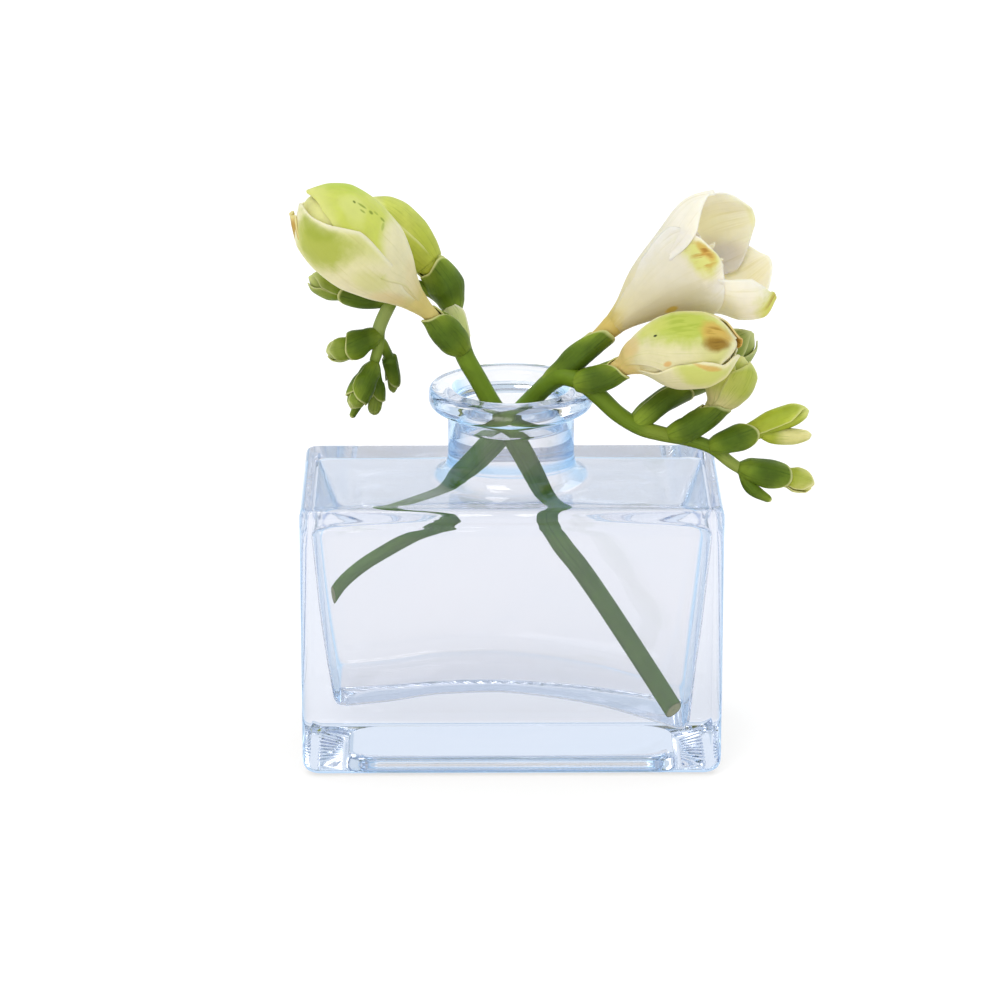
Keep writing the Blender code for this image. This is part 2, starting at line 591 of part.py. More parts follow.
# the open flower: three outer petals, three inner ones between them, the far ones longer at the mouth
def makeRightFlower():
    f = rightFlower
    wide = ((0, 1.8), (0.25, 5.4), (0.5, 10.4), (0.75, 14.4), (0.92, 11.4), (1, 6.5))
    slim = ((0, 1.6), (0.25, 4.8), (0.5, 9.4), (0.75, 12.8), (0.92, 11.0), (1, 7.0))
    opened = ((0, 1.0), (0.4, 1.0), (0.7, 1.1), (1, 1.3))
    flared = ((0, -0.5), (0.4, 0.6), (0.62, 3.4), (0.84, 3.0), (1, -0.6))
    outer = dict(near=20.0, wide=wide, tuck=0.5, drop=0.24, curl=opened, wave=0.5, along=7, across=5)
    inner = dict(near=22.0, wide=slim, drop=0.2, curl=opened, wave=0.5, along=6, across=5)
    pieces = [
        budBody("right flower", f, sides=10, scale=0.82, stop=33.0),
        petal("upper", f, turn=-4, far=56.4, out=((0, 0), (0.5, 0.2), (0.8, 1.0), (1, -1.2)), **outer),
        petal("near", f, turn=98, far=53.0, out=((0, 0), (0.5, 0), (0.8, 0.2), (1, -1.8)), **outer),
        petal("far", f, turn=238, far=64.0, out=((0, 0), (0.5, 0), (0.8, -0.6), (1, -3.6)), **outer),
        petal("inner near", f, turn=50, far=50.5, out=((0, -0.5), (0.7, -0.9), (1, -2.6)), **inner),
        petal("inner lower", f, turn=174, far=60.0, out=flared, **inner),
        petal("inner far", f, turn=304, far=64.5, out=((0, -0.5), (0.7, -1.4), (1, -4.4)), **inner),
    ]
    return fuse("right_flower", pieces, material("white petal", (0.80, 0.75, 0.62), 0.5))


def makeRightSecond():
    f = rightSecond
    pieces = [budBody("right second", f, sides=10, scale=0.84, stop=27.0)]
    wide = ((0, 1.6), (0.25, 5.0), (0.5, 9.4), (0.75, 9.6), (0.92, 7.0), (1, 3.6))
    for turn, far in ((62, 40.0), (178, 42.4), (300, 42.0)):
        pieces.append(petal("outer", f, 15.0, far, turn, wide, tuck=0.8, drop=0.3, along=6, across=5))
    slim = ((0, 1.6), (0.25, 4.2), (0.5, 7.2), (0.75, 7.6), (0.92, 5.6), (1, 3.4))
    for turn, far in ((0, 41.0), (120, 40.5), (240, 41.0)):
        pieces.append(petal("inner", f, 16.5, far, turn, slim, out=((0, -0.5), (1, -1.3)), drop=0.26,
                            along=5, across=4))
    return fuse("right_second_flower", pieces, material("pale green petal", (0.58, 0.58, 0.24), 0.55))


def makeRightFifth():
    f = rightFifth
    pieces = [budBody("right fifth", f, sides=9)]
    lobe = [(58.6, -10.6, 81.9), (62.0, -11.3, 80.9), (66.0, -12.0, 80.8), (69.6, -12.5, 81.2),
            (70.8, -12.7, 81.4)]
    pieces.append(tube("lower lobe", lobe, [1.5, 2.1, 2.0, 1.3, 0.6]))
    return fuse("right_fifth_bud", pieces, material("right fifth bud", (0.45, 0.49, 0.12), 0.5))


def makeBud(name, floret, colour, sides=8, notch=0.16):
    body = budBody(name, floret, sides=sides, notch=notch)
    return fuse(name, [body], material(name + " petal", colour, 0.5))


# three stamens and a parted style standing in the tube of the open flower
def makeStamens():
    line = Line(rightFlower["path"])

    def bent(turn, reach, spread):
        a = math.radians(turn)
        return [line.at(33.7, a, 0.3), line.at(39.0, a, spread * 0.55), line.at(reach, a, spread)]

    pieces = []
    for turn in (40, 160, 280):
        rod = bent(turn, 46.0, 3.0)
        pieces.append(tube("filament", rod, [0.6, 0.5, 0.5], fine=0))
        t = line.frame(46.0)[1]
        top = rod[-1]
        anther = [top - t * 1.2, top + t * 2.2, top + t * 5.6]
        pieces.append(tube("anther", anther, [0.6, 0.95, 0.5], fine=1))
    pieces.append(tube("style", [line.at(33.6, 0, 0), line.at(40.0, 0, 0.2), line.at(48.0, 0.5, 0.6)],
                       [0.9, 0.5, 0.5], fine=1))
    for turn in (0, 120, 240):
        a = math.radians(turn)
        arm = [line.at(47.0, a, 0.35), line.at(50.0, a, 1.6), line.at(52.0, a, 3.0)]
        pieces.append(tube("style arm", arm, [0.5, 0.42, 0.42], fine=0))
    pieces.append(tube("style foot", [line.at(33.3, 0, 0), line.at(34.6, 0, 0)], [1.3, 1.0]))
    return fuse("stamens", pieces, material("pale stamen", (0.80, 0.74, 0.55), 0.5))


clearScene()
collection = bpy.data.collections.new("freesia in bud vase")
cutterCollection = bpy.data.collections.new("cutters")
bpy.context.scene.collection.children.link(collection)
bpy.context.scene.collection.children.link(cutterCollection)

leftFlorets = [leftFlower, leftSecond, leftThird, leftFourth, leftFifth, leftSixth, leftSeventh]
rightFlorets = [rightFlower, rightSecond, rightThird, rightFourth, rightFifth, rightSixth]
nodes = [
    makeBottle(),
    makeWater(cutterCollection),
    makeSpray("left_stem", leftStem, leftRadius, leftFlorets, leftTip),
    makeSpray("right_stem", rightStem, rightRadius, rightFlorets, rightTip),
    makeLeftFlower(),
    makeBud("left_second_bud", leftSecond, (0.42, 0.48, 0.08), sides=15, notch=0.1),
    makeBud("left_third_bud", leftThird, (0.30, 0.36, 0.10), sides=10),
    makeBud("left_fourth_bud", leftFourth, (0.31, 0.36, 0.13)),
    makeBud("left_fifth_bud", leftFifth, (0.33, 0.38, 0.14)),
    makeBud("left_sixth_bud", leftSixth, (0.26, 0.32, 0.08)),
    makeBud("left_seventh_bud", leftSeventh, (0.22, 0.30, 0.07)),
    makeRightFlower(),
    makeRightSecond(),
    makeBud("right_third_bud", rightThird, (0.26, 0.32, 0.08), sides=10),
    makeBud("right_fourth_bud", rightFourth, (0.46, 0.50, 0.11), sides=15, notch=0.12),
    makeRightFifth(),
    makeBud("right_sixth_bud", rightSixth, (0.46, 0.50, 0.13), sides=9),
    makeStamens(),
]
for node in nodes:
    collection.objects.link(node)

# the whole is hung on one empty, moved so that the origin lies under the middle of its box
bpy.context.view_layer.update()
corners = np.array([tuple(v.co) for node in nodes for v in node.data.vertices])
low = corners.min(axis=0)
high = corners.max(axis=0)
hook = bpy.data.objects.new("bottle axis", None)
collection.objects.link(hook)
hook.location = (-(low[0] + high[0]) / 2, -(low[1] + high[1]) / 2, -low[2])
for item in nodes + list(cutterCollection.objects):
    item.parent = hook
print("extents mm", [round(float(v) * 1000, 2) for v in high - low])
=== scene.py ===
# Looks for two cut freesia stems in a flat clear glass bottle of water.
# Tables are in millimetres about the bottle's own axis, with plant colours as on a screen (0 to 255).
# Angles about a stalk are in degrees and count from up (0) towards the viewer (90).

import math

import bmesh
import bpy
import numpy as np
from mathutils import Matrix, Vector


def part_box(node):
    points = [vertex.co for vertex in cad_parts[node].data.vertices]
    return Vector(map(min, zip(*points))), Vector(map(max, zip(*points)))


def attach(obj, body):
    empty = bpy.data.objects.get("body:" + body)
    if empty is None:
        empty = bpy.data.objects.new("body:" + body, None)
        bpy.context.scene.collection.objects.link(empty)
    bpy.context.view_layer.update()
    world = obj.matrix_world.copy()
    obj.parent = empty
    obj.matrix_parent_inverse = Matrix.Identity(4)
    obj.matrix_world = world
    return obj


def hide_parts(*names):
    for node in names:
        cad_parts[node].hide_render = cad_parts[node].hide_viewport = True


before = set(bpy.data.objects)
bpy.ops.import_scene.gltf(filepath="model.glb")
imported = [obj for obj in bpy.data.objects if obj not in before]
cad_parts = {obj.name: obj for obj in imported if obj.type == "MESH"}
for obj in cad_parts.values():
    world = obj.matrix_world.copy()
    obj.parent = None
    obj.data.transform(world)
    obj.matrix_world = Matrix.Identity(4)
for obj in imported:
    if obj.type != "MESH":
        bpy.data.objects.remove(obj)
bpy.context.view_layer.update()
scene = bpy.context.scene
mm = 0.001
bottleLow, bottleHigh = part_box("bottle")
bottleAxis = np.array([(bottleLow[0] + bottleHigh[0]) / 2, (bottleLow[1] + bottleHigh[1]) / 2, bottleLow[2]])
print("frame loaded, bottle axis at", [round(float(v), 4) for v in bottleAxis])


# small helpers

# how much more of each colour a surface needs under this scene's cool surroundings
lightShare = (1.07, 1.0, 0.9)


# a screen colour 0-255 as the linear colour that the shaders use
def screen(r, g, b):
    linear = [((v / 255 + 0.055) / 1.055) ** 2.4 if v > 10 else v / 255 / 12.92 for v in (r, g, b)]
    return tuple(min(0.97, v * s) for v, s in zip(linear, lightShare)) + (1.0,)


# height of a smooth line through the table's points, without overshoot between them
def lineAt(table, x):
    xs = [p[0] for p in table]
    ys = [p[1] for p in table]
    if x <= xs[0]:
        return ys[0]
    if x >= xs[-1]:
        return ys[-1]
    k = 0
    while x > xs[k + 1]:
        k += 1
    slopes = [(ys[i + 1] - ys[i]) / (xs[i + 1] - xs[i]) for i in range(len(xs) - 1)]

    def slopeAt(i):
        if i == 0:
            return slopes[0]
        if i == len(xs) - 1:
            return slopes[-1]
        a, b = slopes[i - 1], slopes[i]
        return 0.0 if a * b <= 0 else 2 * a * b / (a + b)

    w = xs[k + 1] - xs[k]
    t = (x - xs[k]) / w
    return ((1 + 2 * t) * (1 - t) ** 2 * ys[k] + t * (1 - t) ** 2 * w * slopeAt(k)
            + t * t * (3 - 2 * t) * ys[k + 1] + t * t * (t - 1) * w * slopeAt(k + 1))


# points drawn for each of a stalk's own, and how upright it may start before its frame turns
stalkSteps = 12
uprightLimit = 0.97


# a smooth stalk through points, with a frame carried along it
class Stalk:
    def __init__(self, points):
        pts = np.array(points, dtype=float)
        ends = np.vstack([2 * pts[0] - pts[1], pts, 2 * pts[-1] - pts[-2]])
        dense = []
        for i in range(1, len(ends) - 2):
            a, b, c, d = ends[i - 1], ends[i], ends[i + 1], ends[i + 2]
            for t in np.linspace(0, 1, stalkSteps, endpoint=False):
                bent = (2 * a - 5 * b + 4 * c - d) * t ** 2
                dense.append(0.5 * (2 * b + (c - a) * t + bent + (3 * b - a - 3 * c + d) * t ** 3))
        dense.append(pts[-1])
        self.p = np.array(dense)
        steps = np.linalg.norm(np.diff(self.p, axis=0), axis=1)
        self.h = np.concatenate([[0], np.cumsum(steps)])
        self.length = float(self.h[-1])
        self.knots = self.h[::stalkSteps]
        tangent = np.gradient(self.p, self.h, axis=0)
        self.t = tangent / np.linalg.norm(tangent, axis=1)[:, None]
        up = np.array([0.0, 0.0, 1.0])
        if abs(self.t[0] @ up) > uprightLimit:
            up = np.array([-1.0, 0.0, 0.3])
        n = up - (up @ self.t[0]) * self.t[0]
        normals = []
        for t in self.t:
            n = n - (n @ t) * t
            n = n / np.linalg.norm(n)
            normals.append(n)
        self.n = np.array(normals)
        side = np.cross(self.t, self.n)
        self.b = side if side[0] @ np.array([0, -1.0, 0]) > 0 else -side

    def frame(self, h):
        h = min(max(h, 0.0), self.length)
        return [np.array([np.interp(h, self.h, a[:, k]) for k in range(3)])
                for a in (self.p, self.t, self.n, self.b)]

    def at(self, h, angle, radius):
        p, t, n, b = self.frame(h)
        over = max(0.0, h - self.length)
        return p + t * over + radius * (math.cos(angle) * n + math.sin(angle) * b)


def linked(name, data):
    made = bpy.data.objects.new(name, data)
    scene.collection.objects.link(made)
    return made


# mesh from a grid of points, with U across and V along; "wrap" closes it round, "ends" closes both ends
def surface(name, grid, wrap=False, ends=False):
    rows, cols = grid.shape[:2]
    across = cols if wrap else cols - 1
    j, i = np.meshgrid(np.arange(rows - 1), np.arange(across), indexing="ij")
    j, i = j.ravel(), i.ravel()
    right = (i + 1) % cols
    low, high = j * cols, (j + 1) * cols
    faces = np.stack([low + i, low + right, high + right, high + i], axis=1).tolist()
    u0, u1 = i / across, (i + 1) / across
    v0, v1 = j / (rows - 1), (j + 1) / (rows - 1)
    uv = np.stack([u0, v0, u1, v0, u1, v1, u0, v1], axis=1).ravel().tolist()
    verts = grid.reshape(-1, 3).tolist()
    if ends:
        for row, v in ((0, 0.0), (rows - 1, 1.0)):
            tip = len(verts)
            verts.append(grid[row].mean(axis=0).tolist())
            for k in range(cols):
                faces.append([row * cols + k, row * cols + (k + 1) % cols, tip])
                uv += [k / cols, v, (k + 1) / cols, v, (k + 0.5) / cols, v]
    mesh = bpy.data.meshes.new(name)
    points = np.array(verts) * mm + bottleAxis
    mesh.from_pydata(points.tolist(), [], faces)
    mesh.uv_layers.new(name="UVMap").data.foreach_set("uv", uv)
    work = bmesh.new()
    work.from_mesh(mesh)
    bmesh.ops.recalc_face_normals(work, faces=work.faces)
    if wrap and ends and work.calc_volume(signed=True) < 0:
        bmesh.ops.reverse_faces(work, faces=work.faces)
    work.to_mesh(mesh)
    work.free()
    mesh.polygons.foreach_set("use_smooth", [True] * len(mesh.polygons))
    return linked(name, mesh)


# thin blade over a grid of spots: "spot" takes t, from -1 to 1 across it, and v, from 0 to 1 along it
def thinBlade(name, along, across, thick, spot):
    grid = [[spot(2 * i / across - 1, j / along) for i in range(across + 1)] for j in range(along + 1)]
    blade = surface(name, np.array(grid))
    shell = blade.modifiers.new("thickness", "SOLIDIFY")
    shell.thickness = thick * mm
    shell.offset = 0.0
    return blade


# the angles of the points of a ring
def anglesOf(sides):
    return [2 * math.pi * i / sides for i in range(sides)]


# puts a finished piece on the frame: which CAD node it stands for and its material
def place(piece, node, finish):
    piece.data.materials.clear()
    piece.data.materials.append(finish)
    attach(piece, "root")
    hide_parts(node)


# shader building

# short ways to add to a node tree what the shaders here are made of
class Nodes:
    def __init__(self, tree):
        self.tree = tree

    def fill(self, node, inputs):
        for key, value in inputs.items():
            if hasattr(value, "is_output"):
                self.tree.links.new(value, node.inputs[key])
            else:
                node.inputs[key].default_value = value

    def add(self, kind, inputs, **settings):
        node = self.tree.nodes.new(kind)
        for key, value in settings.items():
            setattr(node, key, value)
        self.fill(node, inputs)
        return node

    # a node group, with table colours turned into the shader's
    def group(self, tree, values):
        ready = {key: screen(*value) if isinstance(value, tuple) else value
                 for key, value in values.items()}
        return self.add("ShaderNodeGroup", ready, node_tree=tree)

    def math(self, operation, a, b=0.0):
        return self.add("ShaderNodeMath", {0: a, 1: b}, operation=operation).outputs[0]

    def times(self, a, b):
        return self.math("MULTIPLY", a, b)

    def plus(self, a, b):
        return self.math("ADD", a, b)

    def minus(self, a, b):
        return self.math("SUBTRACT", a, b)

    def mix(self, factor, under, over):
        return self.add("ShaderNodeMix", {"Factor": factor, 6: under, 7: over}, data_type="RGBA").outputs[2]

    # 0 below "low", 1 above "high", smooth between
    def rise(self, value, low, high):
        return self.add("ShaderNodeMapRange", {0: value, 1: low, 2: high, 3: 0.0, 4: 1.0},
                        interpolation_type="SMOOTHSTEP").outputs[0]

    def noise(self, vector, scale, detail, **more):
        return self.add("ShaderNodeTexNoise", {"Vector": vector, "Scale": scale, "Detail": detail,
                                               **more}).outputs[0]

    def vector(self, x, y, z):
        return self.add("ShaderNodeCombineXYZ", {0: x, 1: y, 2: z}).outputs[0]

    def parts(self, vector):
        return self.add("ShaderNodeSeparateXYZ", {0: vector}).outputs

    # where a point lies across and along its piece, from 0 to 1
    def spread(self):
        return self.parts(self.add("ShaderNodeUVMap", {}, uv_map="UVMap").outputs[0])[:2]

    def position(self):
        return self.add("ShaderNodeTexCoord", {}).outputs["Object"]

    def bump(self, strength, distance, height):
        return self.add("ShaderNodeBump", {"Strength": strength, "Distance": distance,
                                           "Height": height}).outputs[0]


# a node group that takes these colours and numbers and gives a colour, and a height if asked
def newGroup(name, colours, numbers, height=False):
    tree = bpy.data.node_groups.new(name, "ShaderNodeTree")
    colourKind, numberKind = "NodeSocketColor", "NodeSocketFloat"
    white = (1.0, 1.0, 1.0, 1.0)
    for label, value in [(label, white) for label in colours] + list(numbers.items()):
        kind = colourKind if value is white else numberKind
        tree.interface.new_socket(name=label, in_out="INPUT", socket_type=kind).default_value = value
    tree.interface.new_socket(name="Color", in_out="OUTPUT", socket_type=colourKind)
    if height:
        tree.interface.new_socket(name="Height", in_out="OUTPUT", socket_type=numberKind)
    return Nodes(tree), tree.nodes.new("NodeGroupInput").outputs, tree.nodes.new("NodeGroupOutput")


def newMaterial(name):
    made = bpy.data.materials.new(name)
    made.use_nodes = True
    return made, Nodes(made.node_tree), made.node_tree.nodes["Principled BSDF"]


# colour and relief of a petal or bract: three colours along it, a tinted middle, a pale margin, fine veins
def buildBladePaint():
    n, g, made = newGroup("blade paint", ("Base", "Middle", "Tip", "Centre", "Margin", "Vein"), {
        "Middle From": 0.1, "Middle To": 0.45, "Tip From": 0.6, "Tip To": 1.0, "Centre Amount": 0.0,
        "Centre Width": 0.6, "Margin Amount": 0.0, "Margin Width": 0.1, "Vein Amount": 0.2,
        "Vein Count": 26.0, "Blotch Amount": 0.12, "Blotch Scale": 260.0}, height=True)
    u, v = n.spread()
    side = n.times(n.math("ABSOLUTE", n.minus(u, 0.5)), 2.0)
    position = n.position()
    shift = n.times(n.minus(n.noise(position, 90.0, 3.0), 0.5), 0.22)
    along = n.plus(v, shift)
    colour = n.mix(n.rise(along, g["Middle From"], g["Middle To"]), g["Base"], g["Middle"])
    colour = n.mix(n.rise(along, g["Tip From"], g["Tip To"]), colour, g["Tip"])
    inner = n.minus(1.0, n.rise(n.plus(side, shift), 0.05, g["Centre Width"]))
    inner = n.times(inner, n.rise(v, 0.12, 0.42))
    colour = n.mix(n.times(inner, g["Centre Amount"]), colour, g["Centre"])
    # veins: noise drawn out along the blade, gathered towards its foot
    drawn = n.vector(n.times(u, g["Vein Count"]), n.times(v, 1.6), 0.0)
    lines = n.noise(drawn, 1.0, 3.0, Roughness=0.6)
    colour = n.mix(n.times(n.rise(lines, 0.5, 0.72), g["Vein Amount"]), colour, g["Vein"])
    blotch = n.noise(position, g["Blotch Scale"], 4.0, Roughness=0.6)
    shade = n.plus(1.0, n.times(n.minus(blotch, 0.5), n.times(g["Blotch Amount"], 2.0)))
    colour = n.add("ShaderNodeHueSaturation", {"Color": colour, "Hue": 0.5, "Saturation": 1.0,
                                               "Value": shade}).outputs[0]
    start = n.minus(1.0, g["Margin Width"])
    rim = n.math("MAXIMUM", n.rise(side, start, 1.0), n.rise(v, start, 1.0))
    rim = n.times(rim, n.rise(v, 0.08, 0.3))
    colour = n.mix(n.times(rim, g["Margin Amount"]), colour, g["Margin"])
    n.fill(made, {"Color": colour, "Height": n.plus(n.times(lines, 0.8), n.times(blotch, 0.35))})
    return n.tree


# a patch of another colour with darker streaks, placed at a spot of the blade
def buildPatch():
    n, g, made = newGroup("petal patch", ("Under", "Patch", "Streak"), {
        "Across": 0.5, "Along": 0.8, "Half Width": 0.2, "Half Length": 0.15, "Streak Amount": 0.6,
        "Amount": 1.0, "Streak Count": 30.0})
    u, v = n.spread()
    across = n.math("DIVIDE", n.minus(u, g["Across"]), g["Half Width"])
    along = n.math("DIVIDE", n.minus(v, g["Along"]), g["Half Length"])
    far = n.math("SQRT", n.plus(n.times(across, across), n.times(along, along)))
    far = n.plus(far, n.times(n.minus(n.noise(n.position(), 420.0, 3.0), 0.5), 0.5))
    mask = n.times(n.minus(1.0, n.rise(far, 0.45, 1.1)), g["Amount"])
    core = n.minus(1.0, n.rise(far, 0.15, 0.75))
    lines = n.noise(n.vector(n.times(u, g["Streak Count"]), n.times(v, 5.0), 3.0), 1.0, 2.0)
    streaks = n.times(n.rise(lines, 0.46, 0.6), g["Streak Amount"])
    colour = n.mix(mask, g["Under"], g["Patch"])
    n.fill(made, {"Color": n.mix(n.times(n.times(core, streaks), mask), colour, g["Streak"])})
    return n.tree


bladePaint = buildBladePaint()
patchPaint = buildPatch()


# a row of a patch table: its colour, spot and half sizes, how strong it is, and its streaks
def patch(colour, across, along, halfWidth, halfLength, amount=1.0, streak=None, streaks=0.0, count=30.0):
    return {"Patch": colour, "Streak": streak or colour, "Across": across, "Along": along,
            "Half Width": halfWidth, "Half Length": halfLength, "Amount": amount, "Streak Amount": streaks,
            "Streak Count": count}


# waxy plant skin: the painted blade, any patches on it, fine relief and a little light passing through
def plantFinish(name, paint, patches=(), rough=0.5, through=0.25, relief=0.25, shine=0.25):
    made, n, shader = newMaterial(name)
    blade = n.group(bladePaint, paint)
    colour = blade.outputs["Color"]
    for row in patches:
        colour = n.group(patchPaint, {"Under": colour, **patch(*row)}).outputs["Color"]
    n.fill(shader, {"Base Color": colour, "Normal": n.bump(relief, 0.0004, blade.outputs["Height"]),
                    "Roughness": rough, "Subsurface Weight": through, "Subsurface Scale": 0.0025,
                    "Subsurface Radius": (1.0, 0.9, 0.45), "Specular IOR Level": shine})
    return made


# camera, floor and light

cameraSet = {"lens": 164.49, "sensor": 36.0, "distance": 1096.7, "azimuth": -0.443, "elevation": 18.282,
             "target": (-2.644, 0.0, 61.193), "clip": 0.05}


def makeCamera(c):
    az, el = math.radians(c["azimuth"]), math.radians(c["elevation"])
    back = np.array([math.sin(az) * math.cos(el), -math.cos(az) * math.cos(el), math.sin(el)])
    spot = (np.array(c["target"]) + back * c["distance"]) * mm + bottleAxis
    camera = linked("photo camera", bpy.data.cameras.new("photo camera"))
    camera.location = spot
    camera.rotation_euler = Vector(back).to_track_quat("Z", "Y").to_euler()
    camera.data.sensor_width = c["sensor"]
    camera.data.lens = c["lens"]
    camera.data.clip_start = c["clip"]
    scene.camera = camera


floorSet = {"size": 8.0, "colour": (0.44, 0.44, 0.44, 1.0), "cloud": (0.42, 0.42, 0.43, 1.0),
            "cloudAmount": 0.06, "rough": 0.8, "glow": 0.66, "glowColour": (1.0, 0.95, 0.9, 1.0)}


def makeFloor(c):
    half = c["size"] / 2
    mesh = bpy.data.meshes.new("floor")
    mesh.from_pydata([(-half, -half, 0), (half, -half, 0), (half, half, 0), (-half, half, 0)], [],
                     [(0, 1, 2, 3)])
    floor = linked("floor", mesh)
    paint, n, shader = newMaterial("pale floor")
    cloud = n.times(n.noise(n.position(), 3.0, 2.0), c["cloudAmount"])
    n.fill(shader, {"Base Color": n.mix(cloud, c["colour"], c["cloud"]), "Roughness": c["rough"],
                    "Emission Color": c["glowColour"], "Emission Strength": c["glow"]})
    mesh.materials.append(paint)


# each area light: its name, place, width, power and colour, all aimed at one height
lightSet = {
    "world": (0.76, 0.885, 1.0, 1.0), "worldStrength": 0.95, "aim": 0.08, "bounces": 32,
    "areas": [("key light", (-0.7, -1.2, 1.9), 1.2, 18.0, (1.0, 0.94, 0.85)),
              ("back light", (1.0, 1.2, 1.6), 1.2, 8.0, (1.0, 0.96, 0.92)),
              ("low back light", (0.1, 1.6, 0.78), 1.3, 1.4, (1.0, 0.82, 0.64))]}


def makeLight(c):
    world = bpy.data.worlds.new("studio")
    scene.world = world
    world.use_nodes = True
    ground = world.node_tree.nodes["Background"]
    ground.inputs["Color"].default_value = c["world"]
    ground.inputs["Strength"].default_value = c["worldStrength"]
    for name, spot, size, power, colour in c["areas"]:
        data = bpy.data.lights.new(name, "AREA")
        data.size = size
        data.energy = power
        data.color = colour
        lamp = linked(name, data)
        lamp.location = spot
        lamp.rotation_euler = (Vector(spot) - Vector((0, 0, c["aim"]))).to_track_quat("Z", "Y").to_euler()
    # light goes round many times in the thick glass
    scene.cycles.max_bounces = c["bounces"]
    scene.cycles.transmission_bounces = c["bounces"]
    scene.cycles.glossy_bounces = c["bounces"]


makeCamera(cameraSet)
makeFloor(floorSet)
makeLight(lightSet)
scene.view_settings.view_transform = "Standard"
scene.view_settings.look = "None"
print("camera, floor and light made")


# glass bottle and water

# rows of a round part, from its radius and height alone
def roundRows(*rows):
    return [(radius, radius, radius, height) for radius, height in rows]


# each row is one ring's half width, half depth, corner radius and height, from under the base
# over the outside and the lip to the inside
bottleSet = {
    "outer": [
        (2.0, 1.0, 1.0, 3.0), (20.0, 7.0, 3.0, 3.0), (36.5, 14.5, 6.4, 3.02), (38.2, 16.2, 7.0, 2.75),
        (39.2, 17.2, 7.4, 2.0), (39.7, 17.7, 7.6, 1.0), (40.1, 18.1, 7.8, 0.2), (41.0, 18.8, 7.0, 0.0),
        (45.4, 22.0, 3.0, 0.0), (46.3, 22.5, 2.6, 0.0), (48.0, 24.2, 2.4, 0.45), (49.3, 25.5, 2.5, 1.6),
        (49.9, 26.1, 2.6, 3.2), (50.0, 26.2, 2.6, 4.8), (50.0, 26.2, 2.6, 20.0), (50.0, 26.2, 2.6, 45.0),
        (50.0, 26.2, 2.6, 63.2), (50.0, 26.2, 2.6, 64.7), (49.7, 25.9, 2.5, 66.2), (49.0, 25.2, 2.3, 67.0),
        (47.8, 24.0, 2.2, 67.2), (38.0, 22.4, 9.0, 67.22), (28.0, 21.0, 16.0, 67.25),
        (20.4, 19.8, 19.4, 67.4)] + roundRows(
        (18.4, 67.8), (16.5, 69.1), (15.4, 71.3), (15.1, 74.4), (15.1, 79.0), (15.1, 83.0), (15.5, 83.9),
        (16.8, 84.4), (18.4, 84.9), (19.4, 85.9), (19.7, 87.3), (19.6, 88.8), (19.0, 89.8), (17.9, 90.05),
        (16.2, 90.0), (14.6, 89.9), (13.5, 89.3), (12.9, 87.8), (12.5, 85.4)),
    "inner": roundRows((12.3, 73.0), (12.6, 69.0), (14.2, 66.6)) + [
        (17.6, 16.4, 16.2, 64.6), (30.0, 18.2, 13.0, 63.0), (44.6, 19.0, 3.0, 61.6), (46.5, 19.9, 2.4, 60.6),
        (47.1, 20.2, 2.2, 58.8), (45.6, 20.3, 2.2, 42.0), (43.9, 20.3, 2.2, 28.0)],
    "floor": [(42.4, 20.0, 2.2, 2.6), (41.3, 19.2, 2.0, 0.7), (39.0, 17.4, 2.0, 0.1), (18.0, 8.0, 2.0, 0.0),
              (2.0, 1.0, 1.0, 0.0)],
    "floorLine": [(-42, 16.2), (-30, 17.4), (-16, 19.4), (-4, 19.8), (8, 18.6), (21, 16.2), (31, 13.2),
                  (41, 9.8)],
    "around": 440, "ribLength": 2.95, "ribDepth": 0.5, "ribFrom": 40.9, "ribTo": 46.6, "outerSteps": 2,
    "innerSteps": 3, "closeRows": 3.2, "waviness": 0.1, "ribPath": (44.0, 20.6, 4.0), "footHeight": 0.3,
    "waterInto": 0.12, "waterTop": 80.0, "neck": 12.3}


# one ring of a rounded rectangle that turns into a circle as its straight sides vanish
def ringPoints(halfX, halfY, corner, count):
    quarter = count // 4
    out = np.zeros((count, 2))
    cx, cy = max(halfX - corner, 0.0), max(halfY - corner, 0.0)
    straight = min(1.0, cx / 6.0)
    # share of a quarter's points on the broad and the narrow side
    partX, partY = 0.54, 0.25
    for q in range(4):
        signX = 1 if q in (0, 3) else -1
        signY = 1 if q in (0, 1) else -1
        for k in range(quarter):
            f = (k + 0.5) / quarter
            # g runs from the narrow side (0) to the broad side (1)
            g = f if q in (0, 2) else 1 - f
            along = min(1.0, max(0.0, (g - partY) / (1 - partX - partY)))
            turn = (1 - straight) * g + straight * along
            ax = min(1.0, max(0.0, (1 - g) / partX))
            ay = min(1.0, g / partY)
            x = cx * ax + corner * math.cos(turn * math.pi / 2)
            y = cy * ay + corner * math.sin(turn * math.pi / 2)
            out[q * quarter + k] = (signX * x, signY * y)
    return out


def floorHeight(x):
    return lineAt(bottleSet["floorLine"], x)


# rings between the table's rows, smooth in all four sizes and closer where the rows are close
def fineRings(rows, steps):
    tables = [[(k, row[c]) for k, row in enumerate(rows)] for c in range(4)]
    out = []
    for k in range(len(rows) - 1):
        apart = max(abs(rows[k + 1][c] - rows[k][c]) for c in (0, 3))
        count = steps * 2 if apart < bottleSet["closeRows"] else steps
        out += [[lineAt(table, k + j / count) for table in tables] for j in range(count)]
    return out + [list(rows[-1])]


def ringGrid(rows, count, inset=0.0, floor=False):
    grid = []
    for halfX, halfY, corner, z in rows:
        flat = ringPoints(max(halfX - inset, 0.5), max(halfY - inset, 0.4), max(corner - inset, 0.3), count)
        heights = [floorHeight(x) + z + inset if floor else z - inset * 0.6 for x, y in flat]
        grid.append(np.column_stack([flat, heights]))
    return grid


